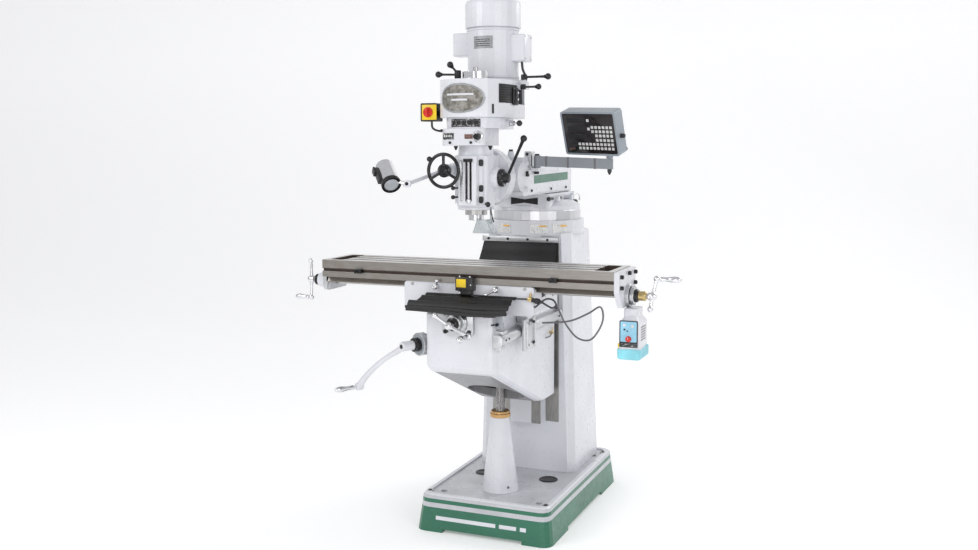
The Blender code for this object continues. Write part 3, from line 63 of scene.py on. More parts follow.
# ---------------------------------------------------------------- places taken from the frame
SCREW_LOW, SCREW_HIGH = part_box("elevating_screw")
ORIGIN = Vector(((SCREW_LOW.x + SCREW_HIGH.x) / 2, (SCREW_LOW.y + SCREW_HIGH.y) / 2, 0.0))


def layout(node):
    low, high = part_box(node)
    return low - ORIGIN, high - ORIGIN


def middle(node):
    low, high = layout(node)
    return (low + high) / 2


BASE_LOW, BASE_HIGH = layout("base_casting")
TABLE_LOW, TABLE_HIGH = layout("table")
KNEE_LOW, KNEE_HIGH = layout("knee_casting")
SADDLE_LOW, SADDLE_HIGH = layout("saddle_casting")
COLUMN_LOW, COLUMN_HIGH = layout("column")
TURRET_LOW = layout("turret")[0]
FEED_LOW, FEED_HIGH = layout("power_feed")
FEEDBOX_LOW = layout("feed_gearbox")[0]
SPINDLE_Y = middle("spindle").y
MOTOR_Y = middle("fan_cover").y
SWIVEL_Y = middle("turret").y
DECK_Z = COLUMN_LOW.z
WAYS_FRONT = layout("way_cover_strip")[1].y


# ---------------------------------------------------------------- materials
class Shader:
    """Wires one Principled material from noise in object space, which is metres."""

    def __init__(self, name):
        self.material = bpy.data.materials.new(name)
        self.material.use_nodes = True
        self.tree = self.material.node_tree
        self.surface = self.tree.nodes["Principled BSDF"]
        self.place = self.node("ShaderNodeTexCoord").outputs["Object"]
        rounding = self.node("ShaderNodeBevel", samples=4)
        rounding.inputs["Radius"].default_value = 0.0018
        self.rounded = rounding.outputs["Normal"]

    def node(self, kind, **settings):
        node = self.tree.nodes.new(kind)
        for key, value in settings.items():
            setattr(node, key, value)
        return node

    def feed(self, socket, value):
        if isinstance(value, bpy.types.NodeSocket):
            self.tree.links.new(value, socket)
        elif isinstance(value, (tuple, list)) and len(value) == 3 and len(socket.default_value) == 4:
            socket.default_value = (*value, 1.0)
        else:
            socket.default_value = value

    def sum(self, operation, first, second=0.0):
        node = self.node("ShaderNodeMath", operation=operation, use_clamp=False)
        self.feed(node.inputs[0], first)
        self.feed(node.inputs[1], second)
        return node.outputs[0]

    def grain(self, scale, detail=3.0, stretch=(1.0, 1.0, 1.0)):
        mapping = self.node("ShaderNodeMapping")
        mapping.inputs["Scale"].default_value = stretch
        self.feed(mapping.inputs["Vector"], self.place)
        node = self.node("ShaderNodeTexNoise")
        node.inputs["Scale"].default_value = scale
        node.inputs["Detail"].default_value = detail
        self.feed(node.inputs["Vector"], mapping.outputs["Vector"])
        return node.outputs["Fac"]

    def spread(self, value, start, end, low=0.0, high=1.0):
        node = self.node("ShaderNodeMapRange")
        self.feed(node.inputs["Value"], value)
        for name, number in (("From Min", start), ("From Max", end), ("To Min", low), ("To Max", high)):
            node.inputs[name].default_value = number
        return node.outputs["Result"]

    def blend(self, share, first, second):
        node = self.node("ShaderNodeMix", data_type="RGBA")
        self.feed(node.inputs["Factor"], share)
        self.feed(node.inputs[6], first)
        self.feed(node.inputs[7], second)
        return node.outputs[2]

    def edges(self):
        """About 1 along edges, 0 on flat faces."""
        plain = self.node("ShaderNodeNewGeometry").outputs["Normal"]
        node = self.node("ShaderNodeVectorMath", operation="DOT_PRODUCT")
        self.feed(node.inputs[0], plain)
        self.feed(node.inputs[1], self.rounded)
        return self.spread(node.outputs["Value"], 0.985, 0.90)

    def height(self):
        node = self.node("ShaderNodeSeparateXYZ")
        self.feed(node.inputs[0], self.place)
        return node.outputs["Z"]

    def finish(self, colour, roughness, metallic=0.0, relief=None, depth=0.0002, **extra):
        self.feed(self.surface.inputs["Base Color"], colour)
        self.feed(self.surface.inputs["Roughness"], roughness)
        self.feed(self.surface.inputs["Metallic"], metallic)
        bump = self.node("ShaderNodeBump")
        bump.inputs["Distance"].default_value = depth
        if relief is not None:
            self.feed(bump.inputs["Height"], relief)
        self.feed(bump.inputs["Normal"], self.rounded)
        self.feed(self.surface.inputs["Normal"], bump.outputs["Normal"])
        for name, value in extra.items():
            self.feed(self.surface.inputs[name.replace("_", " ")], value)
        return self.material


def shade(colour, factor):
    return tuple(min(1.0, c * factor) for c in colour)


def paint(name, colour, gloss=0.30):
    """Sprayed machine enamel: orange peel, cloudy tone, small chips to the primer on edges."""
    s = Shader(name)
    tone = s.blend(s.spread(s.grain(6.0, 4.0), 0.35, 0.65), shade(colour, 0.95), shade(colour, 1.03))
    chips = s.sum("MULTIPLY", s.edges(), s.spread(s.grain(220.0, 4.0), 0.73, 0.80, 0.0, 0.5))
    tone = s.blend(chips, tone, shade(colour, 0.55))
    rough = s.spread(s.grain(35.0, 4.0), 0.3, 0.7, gloss - 0.05, gloss + 0.09)
    return s.finish(tone, rough, 0.0, s.grain(420.0, 2.0), 0.00025, Coat_Weight=0.35, Coat_Roughness=0.12)


def base_paint(name, white, green):
    """Base enamel: green below, a white stripe, a green stripe, white above, greyer on the deck with painted
    shade.
    """
    s = Shader(name)
    high = s.height()
    stripe_low, stripe_high, green_top = 0.101, 0.120, 0.136
    soft = 0.0004
    in_stripe = s.sum("MULTIPLY", s.spread(high, stripe_low - soft, stripe_low + soft),
                      s.spread(high, stripe_high + soft, stripe_high - soft))
    above = s.spread(high, green_top - soft, green_top + soft)
    # painted shade: faces of the deck's recess below the rim are greyed
    deck = s.spread(high, DECK_Z + 0.0012, DECK_Z + 0.0006)
    painted_deck_shade = s.blend(s.spread(s.grain(9.0, 5.0), 0.35, 0.7), shade(white, 0.80), shade(white, 0.64))
    upper = s.blend(deck, white, painted_deck_shade)
    leaf = s.blend(s.spread(s.grain(5.0, 4.0), 0.3, 0.7), shade(green, 0.88), shade(green, 1.12))
    tone = s.blend(s.sum("MAXIMUM", in_stripe, above), leaf, upper)
    chips = s.sum("MULTIPLY", s.edges(), s.spread(s.grain(200.0, 4.0), 0.60, 0.66))
    tone = s.blend(chips, tone, (0.25, 0.25, 0.25))
    rough = s.spread(s.grain(30.0, 4.0), 0.3, 0.7, 0.24, 0.42)
    return s.finish(tone, rough, 0.0, s.grain(420.0, 2.0), 0.00025, Coat_Weight=0.3, Coat_Roughness=0.15)


def metal(name, colour, roughness, stretch=(1.0, 1.0, 1.0), streak=500.0, tint=0.80, stain=None,
          depth=0.00012):
    """Machined metal: tool marks along one direction, patches of wear, painted highlights along the edges."""
    s = Shader(name)
    marks = s.grain(streak, 4.0, stretch)
    tone = s.blend(s.spread(marks, 0.35, 0.65), shade(colour, tint), colour)
    patch = s.grain(11.0, 5.0)
    if stain:
        tone = s.blend(s.spread(patch, 0.52, 0.72, 0.0, 0.75), tone, stain)
    # painted highlight: edges lighter than the faces
    tone = s.blend(s.sum("MULTIPLY", s.edges(), 0.6), tone, shade(colour, 1.35))
    rough = s.sum("ADD", s.spread(patch, 0.3, 0.7, roughness - 0.04, roughness + 0.08),
                  s.spread(marks, 0.3, 0.7, -0.03, 0.03))
    return s.finish(tone, rough, 1.0, marks, depth)


def moulded(name, colour, roughness=0.38, grain=700.0, wear=(0.22, 0.22, 0.22), depth=0.00015, **extra):
    """Plastic, rubber or blackened steel with a fine grain and rubbed edges."""
    s = Shader(name)
    tone = s.blend(s.spread(s.grain(14.0, 4.0), 0.35, 0.7), shade(colour, 0.85), shade(colour, 1.15))
    rub = s.sum("MULTIPLY", s.edges(), s.spread(s.grain(90.0, 4.0), 0.45, 0.7, 0.0, 0.7))
    tone = s.blend(rub, tone, wear)
    rough = s.spread(s.grain(50.0, 4.0), 0.3, 0.7, roughness - 0.06, roughness + 0.08)
    return s.finish(tone, rough, 0.0, s.grain(grain, 3.0), depth, **extra)


def printed(name, ground, ink, share=0.55):
    """Plate with blocks and fine rows that stand for print, none of them readable."""
    s = Shader(name)
    rows = s.grain(60.0, 1.0, (1.0, 1.0, 9.0))
    words = s.grain(210.0, 1.0, (1.0, 1.0, 0.6))
    dots = s.sum("MULTIPLY", s.spread(rows, 0.50, 0.53), s.spread(words, 0.46, 0.52))
    tone = s.blend(s.sum("MULTIPLY", dots, share), ground, ink)
    return s.finish(tone, s.spread(s.grain(40.0), 0.3, 0.7, 0.28, 0.42), 0.2, s.grain(500.0), 0.0001)


def mottled(name, first, second):
    """Tarnished cast plate."""
    s = Shader(name)
    tone = s.blend(s.spread(s.grain(55.0, 6.0), 0.38, 0.62), first, second)
    tone = s.blend(s.spread(s.grain(240.0, 3.0), 0.55, 0.70, 0.0, 0.5), tone, shade(second, 1.3))
    return s.finish(tone, s.spread(s.grain(80.0), 0.3, 0.7, 0.35, 0.55), 0.75, s.grain(330.0, 5.0), 0.0005)


WHITE = (0.700, 0.708, 0.748)
GREEN = (0.016, 0.138, 0.078)
ALONG_X = (0.03, 1.0, 1.0)
ROUND_Z = (1.0, 1.0, 12.0)
FINE = 900.0  # grain of smooth mouldings


def plastic(name, colour, roughness, wear):
    """Smooth coloured moulding."""
    return moulded(name, colour, roughness, FINE, wear, 0.00005)


FINISH = {
    "white": paint("white_enamel", WHITE),
    # painted shade: a darkened copy of the white enamel for the knee's hollow interior
    "shaded_inner_white": paint("shaded_inner_enamel", shade(WHITE, 0.30), 0.5),
    "base": base_paint("base_enamel", WHITE, GREEN),
    "green": paint("green_enamel", GREEN, 0.34),
    "table": metal("table_steel", (0.60, 0.585, 0.57), 0.28, ALONG_X, 420.0, stain=(0.46, 0.44, 0.42)),
    "table_front": metal("table_front_steel", (0.36, 0.335, 0.31), 0.36, ALONG_X, stain=(0.27, 0.235, 0.20)),
    # brownish dark painted shade for the table's T-slots, stop groove and its lip
    "groove": moulded("groove_painted_shade", (0.055, 0.035, 0.025), 0.55, 300.0, (0.12, 0.08, 0.05)),
    "ways": metal("scraped_ways", (0.36, 0.35, 0.335), 0.34, (1.0, 1.0, 0.08), 320.0, 0.78),
    "ring": metal("turned_ring", (0.74, 0.74, 0.76), 0.30, ROUND_Z, 260.0, 0.90, depth=0.00006),
    "steel": metal("turned_steel", (0.55, 0.54, 0.53), 0.24, ROUND_Z, 300.0, 0.82),
    "chrome": metal("chrome", (0.80, 0.80, 0.82), 0.10, streak=60.0, tint=0.93, depth=0.00003),
    "bronze": metal("bronze", (0.62, 0.38, 0.17), 0.28, ROUND_Z, 300.0, 0.75),
    "brass": metal("brass", (0.68, 0.52, 0.24), 0.25, streak=300.0),
    "cast": metal("cast_aluminium", (0.66, 0.67, 0.68), 0.34, streak=240.0, tint=0.84, depth=0.0003),
    "grey": paint("grey_enamel", (0.33, 0.355, 0.385), 0.36),
    "dial": metal("satin_dial", (0.60, 0.61, 0.62), 0.30, tint=0.88),
    "case": paint("display_case", (0.30, 0.335, 0.375), 0.40),
    "tube": paint("arm_tube", (0.215, 0.235, 0.26), 0.42),
    "black": moulded("black_plastic", (0.016, 0.016, 0.017), 0.30),
    "gloss": moulded("gloss_black", (0.010, 0.010, 0.011), 0.14, FINE, (0.06, 0.06, 0.06), 0.00003),
    "blued": moulded("black_steel", (0.028, 0.028, 0.030), 0.34, 500.0, (0.30, 0.29, 0.28), Metallic=0.6),
    "rubber": moulded("black_rubber", (0.012, 0.012, 0.012), 0.42, 260.0, (0.05, 0.05, 0.05), 0.0004),
    # near black: painted shade in slots, vents, recesses and grille holes, and the real dark of print bars
    # and display windows
    "dark": moulded("dark_hollow", (0.010, 0.010, 0.011), 0.60),
    "cable": moulded("cable_jacket", (0.045, 0.045, 0.048), 0.45),
    "grey_cable": moulded("grey_cable_jacket", (0.15, 0.15, 0.16), 0.45),
    "red": plastic("red_plastic", (0.68, 0.022, 0.012), 0.28, (0.75, 0.2, 0.15)),
    "yellow": plastic("yellow_plastic", (0.86, 0.60, 0.015), 0.34, (0.9, 0.75, 0.2)),
    "orange": plastic("orange_face", (0.90, 0.50, 0.10), 0.40, (0.9, 0.6, 0.2)),
    "cyan": moulded("cyan_boot", (0.26, 0.66, 0.76), 0.42, 500.0, (0.5, 0.75, 0.8)),
    "blue": plastic("blue_face", (0.30, 0.60, 0.78), 0.36, (0.5, 0.7, 0.8)),
    "button": plastic("white_button", (0.72, 0.72, 0.70), 0.34, (0.8, 0.8, 0.8)),
    "readout": moulded("readout_glass", (0.010, 0.006, 0.007), 0.16, FINE, (0.02, 0.012, 0.012), 0.00002),
    "label": printed("label_print", (0.80, 0.80, 0.79), (0.20, 0.20, 0.20)),
    "plate": printed("black_nameplate", (0.035, 0.035, 0.037), (0.45, 0.45, 0.46), 0.8),
    "silver_plate": printed("silver_nameplate", (0.36, 0.37, 0.38), (0.16, 0.16, 0.17), 0.7),
    "maroon": printed("maroon_plate", (0.14, 0.055, 0.045), (0.35, 0.28, 0.25), 0.6),
    "oval": mottled("oval_plate", (0.155, 0.145, 0.125), (0.34, 0.325, 0.30)),
    "clear": moulded("clear_guard", (0.62, 0.66, 0.68), 0.10, FINE, (0.8, 0.8, 0.8), 0.00003,
                     Transmission_Weight=0.8, IOR=1.45),
    "lens": moulded("lamp_lens", (0.65, 0.68, 0.72), 0.08, 120.0, (0.8, 0.8, 0.8), 0.0006,
                    Transmission_Weight=0.35),
}


# ---------------------------------------------------------------- shape helpers
SHARP_ANGLE = math.radians(35.0)  # edges that turn by more are shaded sharp


def ring(centre, axis, radius, sides, phase=0.0):
    """Points round an axis."""
    axis = Vector(axis).normalized()
    side = Vector((1.0, 0.0, 0.0)) if abs(axis.z) > 0.99 else axis.orthogonal().normalized()
    other = axis.cross(side)
    turn = [2 * math.pi * (i + phase) / sides for i in range(sides)]
    return [Vector(centre) + (side * math.cos(a) + other * math.sin(a)) * radius for a in turn]


def skin(rings, closed=False):
    """Solid through rings of points, capped unless it closes on itself."""
    work = bmesh.new()
    loops = [[work.verts.new(point) for point in points] for points in rings]
    pairs = list(zip(loops, loops[1:]))
    if closed:
        pairs.append((loops[-1], loops[0]))
    for low, high in pairs:
        for i in range(len(low)):
            j = (i + 1) % len(low)
            work.faces.new((low[i], low[j], high[j], high[i]))
    if not closed:
        work.faces.new(reversed(loops[0]))
        work.faces.new(loops[-1])
    return work


def turned(start, direction, stations, sides=40):
    """Round solid: (distance along the axis, radius) stations from a start point."""
    axis = Vector(direction).normalized()
    return skin([ring(Vector(start) + axis * along, axis, radius, sides) for along, radius in stations])


def sleeve(start, direction, stations, sides=48):
    """Round solid with a bore: the stations run round the wall and close on themselves."""
    axis = Vector(direction).normalized()
    return skin([ring(Vector(start) + axis * along, axis, radius, sides) for along, radius in stations], True)


def rod(start, end, radius, sides=20):
    run = Vector(end) - Vector(start)
    return turned(start, run, [(0.0, radius), (run.length, radius)], sides)


def prism(axis, outline, low, high):
    """Straight solid from an outline in the two other axes."""
    spot = "XYZ".index(axis)
    return skin([[(*point[:spot], along, *point[spot:]) for point in outline] for along in (low, high)])


def soften(work, width, segments=2, sharper=0.6):
    """Round the edges that turn by more than an angle in radians."""
    bmesh.ops.recalc_face_normals(work, faces=work.faces)
    edges = [e for e in work.edges if len(e.link_faces) == 2 and e.calc_face_angle(0.0) > sharper]
    bmesh.ops.bevel(work, geom=edges, offset=width, segments=segments, profile=0.5, affect="EDGES",
                    clamp_overlap=True)
    return work


def block(low, high, edge=0.001):
    """Box between two corners with rounded edges."""
    work = bmesh.new()
    bmesh.ops.create_cube(work, size=1.0)
    low, high = Vector(low), Vector(high)
    size = high - low
    for vert in work.verts:
        vert.co = (low + high) / 2 + Vector(vert.co[i] * size[i] for i in range(3))
    return soften(work, edge) if edge else work


def rounded(half_u, half_v, radius, centre=(0.0, 0.0), steps=5):
    """Rectangle outline with round corners."""
    outline = []
    for quarter, (su, sv) in enumerate(((1, 1), (-1, 1), (-1, -1), (1, -1))):
        for step in range(steps + 1):
            angle = math.radians(90 * (quarter + step / steps))
            outline.append((centre[0] + su * (half_u - radius) + radius * math.cos(angle),
                            centre[1] + sv * (half_v - radius) + radius * math.sin(angle)))
    return outline


def smooth_path(points, steps=8):
    """Catmull-Rom curve through the points."""
    points = [Vector(p) for p in points]
    padded = [points[0] * 2 - points[1]] + points + [points[-1] * 2 - points[-2]]
    path = []
    for a, b, c, d in zip(padded, padded[1:], padded[2:], padded[3:]):
        for i in range(steps):
            t = i / steps
            path.append(((b * 2) + (c - a) * t + (a * 2 - b * 5 + c * 4 - d) * t ** 2
                         + (b * 3 - a - c * 3 + d) * t ** 3) / 2)
    return path + [points[-1]]


def pipe(points, radius, sides=12, steps=8):
    """Round bar or cable along a smooth path; the radius may be a function of 0 to 1."""
    path = smooth_path(points, steps)
    rings = []
    side = None
    for i, point in enumerate(path):
        along = (path[min(i + 1, len(path) - 1)] - path[max(i - 1, 0)]).normalized()
        if side is None:
            side = along.orthogonal()
        side = (side - along * side.dot(along)).normalized()
        other = along.cross(side)
        size = radius(i / (len(path) - 1)) if callable(radius) else radius
        turn = [2 * math.pi * k / sides for k in range(sides)]
        rings.append([point + (side * math.cos(a) + other * math.sin(a)) * size for a in turn])
    return skin(rings)


def hoop(centre, axis, radius, bar, sides=64, bar_sides=16):
    """Round bar bent into a ring."""
    axis = Vector(axis).normalized()
    rings = []
    for point in ring(centre, axis, radius, sides):
        out = (point - Vector(centre)).normalized()
        turn = [2 * math.pi * k / bar_sides for k in range(bar_sides)]
        rings.append([point + (out * math.cos(b) + axis * math.sin(b)) * bar for b in turn])
    return skin(rings, closed=True)


def ball(centre, radius, detail=3):
    work = bmesh.new()
    bmesh.ops.create_icosphere(work, subdivisions=detail, radius=radius)
    bmesh.ops.translate(work, verts=work.verts, vec=Vector(centre))
    return work


def bolt(centre, axis, radius, height, sides=6, socket=True):
    """Screw head with a rounded rim and, for a cap screw, a hexagon socket."""
    if sides == 6:
        return turned(centre, axis, [(0.0, radius), (height * 0.8, radius), (height, radius * 0.86)], 6)
    stations = [(0.0, radius), (height * 0.82, radius), (height * 0.95, radius * 0.93),
                (height, radius * 0.84)]
    if socket:
        stations += [(height, radius * 0.50), (height * 0.45, radius * 0.46)]
    return turned(centre, axis, stations, sides)


def outward(angle):
    """Level direction at an angle in radians from the machine's right."""
    return Vector((math.cos(angle), math.sin(angle), 0.0))


def wrapped(centre, radius, angles, low, high, thickness, steps=40):
    """Plate bent round a vertical cylinder; each edge is a height, or a function of 0 to 1."""
    foot = Vector((centre[0], centre[1], 0.0))
    rings = []
    for i in range(steps + 1):
        share = i / steps
        out = outward(math.radians(angles[0] + (angles[1] - angles[0]) * share))
        bottom, top = (edge(share) if callable(edge) else edge for edge in (low, high))
        corners = ((radius, bottom), (radius + thickness, bottom), (radius + thickness, top), (radius, top))
        rings.append([foot + out * distance + Vector((0.0, 0.0, z)) for distance, z in corners])
    return skin(rings)


def piece(name, body, finish, *shapes, stands_for=None):
    """Join shapes into one named piece that rides on a body and may stand for a CAD node."""
    whole = bmesh.new()
    for shape in shapes:
        part = bpy.data.meshes.new("part")
        shape.to_mesh(part)
        shape.free()
        whole.from_mesh(part)
        bpy.data.meshes.remove(part)
    bmesh.ops.recalc_face_normals(whole, faces=whole.faces)
    bmesh.ops.translate(whole, verts=whole.verts, vec=ORIGIN)
    mesh = bpy.data.meshes.new(name)
    whole.to_mesh(mesh)
    whole.free()
    mesh.materials.append(FINISH[finish])
    mesh.shade_smooth()
    mesh.set_sharp_from_angle(angle=SHARP_ANGLE)
    thing = bpy.data.objects.new(name, mesh)
    bpy.context.collection.objects.link(thing)
    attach(thing, body)
    if stands_for:
        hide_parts(stands_for)


def dress(node, finish, *others):
    """Give a CAD node its finish; (finish, test) pairs take the faces whose middle and normal pass."""
    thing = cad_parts[node]
    thing.data.materials.clear()
    thing.data.materials.append(FINISH[finish])
    for finish_name, _ in others:
        thing.data.materials.append(FINISH[finish_name])
    for face in thing.data.polygons:
        face.material_index = 0
        for index, (_, test) in enumerate(others):
            if test(face.center - ORIGIN, face.normal):
                face.material_index = index + 1


# ---------------------------------------------------------------- CAD nodes that keep their shape
def dress_cad():
    """Materials of the CAD nodes, face by face where a node has more than one."""
    nodes_with = {
        "base": "base_casting",
        "white": "screw_pedestal column knee_crank_bearing table_bracket_right ram ram_adapter quill_head"
                 " feed_gearbox belt_housing back_gear_housing motor_body fan_cover lamp_arm",
        "bronze": "elevating_nut",
        "cast": "way_cover_strip y_scale y_scale_reader",
        "grey": "y_screw_bearing",
        "black": "limit_switch switch_box",
        "blued": "stop_dog_left stop_dog_right spindle_pulley motor_pulley handwheel",
        "tube": "dro_arm",
        "case": "dro_display",
        "rubber": "drive_belt rear_way_cover front_way_cover",
        "clear": "chip_guard",
        "chrome": "table_lock_left table_lock_right x_crank_left x_crank_right y_crank y_crank_grip"
                  " knee_crank_grip lamp_head",
        "red": "feed_knob switch_knob",
        "steel": "x_leadscrew y_leadscrew elevating_screw quill spindle",
        "gloss": "quill_lever brake_lever speed_lever belt_tension_lever back_gear_lever",
        "dial": "feed_rate_knob",
    }
    for finish, nodes in nodes_with.items():
        for node in nodes.split():
            dress(node, finish)
    table_middle = (TABLE_LOW.x + TABLE_HIGH.x) / 2
    ring_top = TURRET_LOW.z + 0.043

    def on_knee_back(at, normal):
        return at.y > KNEE_HIGH.y - 0.030 and abs(at.x) < 0.095

    def on_knee_top(at, normal):
        return at.z > KNEE_HIGH.z - 0.036 and normal.z > 0.1

    def in_knee(at, normal):
        return abs(at.x) < 0.118 and -0.385 < at.y < 0.215 and at.z < 0.86

    def on_crank_hub(at, normal):
        reach = -(at.x * 0.470 + at.y * 0.883)
        return 0.410 < reach < 0.442 and at.z > KNEE_HIGH.z - 0.19 and at.x > -0.235

    def in_slots(at, normal):
        deep = TABLE_HIGH.z - 0.030 < at.z < TABLE_HIGH.z - 0.0008
        inside = TABLE_LOW.y + 0.006 < at.y < TABLE_HIGH.y - 0.006
        return deep and inside and abs(at.x - table_middle) < 0.605

    def in_stop_groove(at, normal):
        return TABLE_LOW.y + 0.001 < at.y < TABLE_LOW.y + 0.012 and 1.081 < at.z < 1.094

    def on_table_sides(at, normal):
        on_long_side = at.y < TABLE_LOW.y + 0.001 or at.y > TABLE_HIGH.y - 0.001
        return on_long_side or abs(at.x - table_middle) > 0.609

    # the knee's interior faces take painted shade, a darkened copy of the white enamel
    dress("knee_casting", "white", ("ways", on_knee_back), ("ways", on_knee_top), ("shaded_inner_white", in_knee))
    dress("knee_crank", "white", ("gloss", on_crank_hub))
    dress("saddle_casting", "white", ("ways", lambda at, normal: at.z > SADDLE_HIGH.z - 0.002))
    # the T-slots and the stop groove take brownish dark painted shade
    dress("table", "table", ("groove", in_slots), ("groove", in_stop_groove), ("table_front", on_table_sides),
          ("table_front", lambda at, normal: at.z < 1.060))
    dress("table_bracket_left", "cast", ("white", lambda at, normal: at.x < TABLE_LOW.x - 0.018))
    dress("turret", "white", ("ring", lambda at, normal: at.z < ring_top))
    dress("power_feed", "white", ("cyan", lambda at, normal: at.z < FEED_LOW.z + 0.0405))


# ---------------------------------------------------------------- studio
def studio():
    """Pale floor that sweeps up behind, a soft sky and four round lights."""
    floor_reach, wall, sweep = 9.0, 5.5, 2.5
    profile = [(-floor_reach, 0.0), (wall - sweep, 0.0)]
    for i in range(1, 13):
        turn = math.radians(90 * i / 12)
        profile.append((wall - sweep + sweep * math.sin(turn), sweep - sweep * math.cos(turn)))
    profile.append((wall, 7.0))
    work = bmesh.new()
    rows = [[work.verts.new((x, y, z)) for y, z in profile] for x in (-11.0, 11.0)]
    for i in range(len(profile) - 1):
        work.faces.new((rows[0][i], rows[1][i], rows[1][i + 1], rows[0][i + 1]))
    mesh = bpy.data.meshes.new("studio_floor")
    work.to_mesh(mesh)
    work.free()
    mesh.shade_smooth()
    floor = bpy.data.objects.new("studio_floor", mesh)
    bpy.context.collection.objects.link(floor)
    pale = bpy.data.materials.new("pale_floor")
    pale.use_nodes = True
    surface = pale.node_tree.nodes["Principled BSDF"]
    surface.inputs["Base Color"].default_value = (0.93, 0.93, 0.93, 1.0)
    surface.inputs["Roughness"].default_value = 0.9
    surface.inputs["Emission Color"].default_value = (1.0, 1.0, 1.0, 1.0)
    surface.inputs["Emission Strength"].default_value = 0.22
    mesh.materials.append(pale)

    world = bpy.data.worlds.new("studio")
    world.use_nodes = True
    sky = world.node_tree.nodes["Background"]
    sky.inputs["Color"].default_value = (0.97, 0.98, 1.0, 1.0)
    sky.inputs["Strength"].default_value = 0.60
    bpy.context.scene.world = world
    lights = (("key", (-2.6, -3.6, 3.6), 2.6, 62.0), ("fill", (3.4, -2.6, 2.2), 2.4, 30.0),
              ("rim", (2.2, 2.6, 3.4), 2.0, 34.0), ("front", (0.6, -4.4, 1.1), 2.2, 20.0))
    for name, place, size, power in lights:
        lamp = bpy.data.lights.new(name, "AREA")
        lamp.shape = "DISK"
        lamp.size = size
        lamp.energy = power
        thing = bpy.data.objects.new(name, lamp)
        thing.location = place
        aim = Vector((0.0, 0.0, 1.05)) - Vector(place)
        thing.rotation_euler = aim.to_track_quat("-Z", "Y").to_euler()
        bpy.context.collection.objects.link(thing)
    bpy.context.scene.view_settings.view_transform = "Standard"


def camera():
    """Right of the operator and a little above table height, turned left and down."""
    place = Vector((1.6066, -3.9756, 1.5725)) + ORIGIN
    yaw, pitch, roll = (math.radians(a) for a in (22.611, 6.890, -0.18))
    look = Vector((-math.sin(yaw) * math.cos(pitch), math.cos(yaw) * math.cos(pitch), -math.sin(pitch)))
    level = Vector((math.cos(yaw), math.sin(yaw), 0.0))
    up = level.cross(look)
    right = level * math.cos(roll) + up * math.sin(roll)
    up = up * math.cos(roll) - level * math.sin(roll)
    matrix = Matrix((right, up, -look)).transposed().to_4x4()
    matrix.translation = place
    eye = bpy.data.cameras.new("camera")
    eye.sensor_width = 36.0
    eye.lens = 38.5988
    thing = bpy.data.objects.new("camera", eye)
    thing.matrix_world = matrix
    bpy.context.collection.objects.link(thing)
    bpy.context.scene.camera = thing


# ---------------------------------------------------------------- repeated fittings
def lever(name, body, start, end, rod_radius, ball_radius, hubs=(), rod_finish="blued", stands_for=None):
    """Rod with a ball knob; hubs are (start, axis, stations, sides) turned parts on the same shaft."""
    start, end = Vector(start), Vector(end)
    run = (end - start).normalized()
    waist = (end - start).length - ball_radius * 0.8
    stem = turned(start, run, [(0.0, rod_radius), (waist * 0.75, rod_radius), (waist, rod_radius * 1.25)], 20)
    piece(name + "_rod", body, rod_finish, stem, *[turned(*hub) for hub in hubs], stands_for=stands_for)
    piece(name + "_knob", body, "gloss", ball(end, ball_radius),
          turned(end - run * ball_radius * 1.12, run,
                 [(0.0, ball_radius * 0.55), (ball_radius * 0.5, ball_radius * 0.7)], 20))


def ball_crank(name, body, hub, axis, tip, counter, stands_for):
    """Ball crank: hub, swept arm with a large and a small ball, and the grip's pin."""
    hub, axis, tip, counter = Vector(hub), Vector(axis).normalized(), Vector(tip), Vector(counter)
    shapes = [turned(hub - axis * 0.015, axis,
                     [(0.0, 0.0135), (0.002, 0.015), (0.023, 0.015), (0.028, 0.0115), (0.030, 0.010)], 32),
              ball(hub, 0.0165), ball(tip, 0.0128), ball(counter, 0.0112)]
    for end in (tip, counter):
        run = end - hub
        reach = run.length
        shapes.append(turned(hub, run, [(0.0, 0.0085), (reach * 0.5, 0.0060), (reach, 0.0070)], 24))
    shapes.append(rod(tip, tip + axis * 0.017, 0.006))
    piece(name, body, "chrome", *shapes, stands_for=stands_for)


def grip_shape(start, axis, length):
    """Waisted crank handle."""
    profile = ((0.0, 0.0060), (0.02, 0.0085), (0.08, 0.0098), (0.13, 0.0088), (0.30, 0.0086), (0.48, 0.0108),
               (0.64, 0.0126), (0.78, 0.0124), (0.90, 0.0104), (0.97, 0.0070), (1.0, 0.0030))
    return turned(start, axis, [(share * length, radius) for share, radius in profile], 32)


def dial(name, body, start, axis, radius, length, marks=50):
    """Satin sleeve with a knurled rim and engraved divisions."""
    start, axis = Vector(start), Vector(axis).normalized()
    piece(name, body, "dial",
          turned(start, axis, [(0.0, radius - 0.001), (0.001, radius), (length * 0.62, radius),
                               (length * 0.66, radius + 0.0006), (length - 0.001, radius + 0.0006),
                               (length, radius - 0.001)], 64))
    ticks = []
    for i, point in enumerate(ring(start, axis, radius, marks)):
        out = (point - start).normalized()
        reach = length * (0.45 if i % 5 == 0 else 0.28)
        ticks.append(rod(point + axis * 0.001 - out * 0.0002, point + axis * reach - out * 0.0002, 0.0006, 6))
    piece(name + "_marks", body, "black", *ticks)


def cap_screws(name, body, finish, places, axis, radius, height):
    piece(name, body, finish, *[bolt(place, axis, radius, height, 24) for place in places])


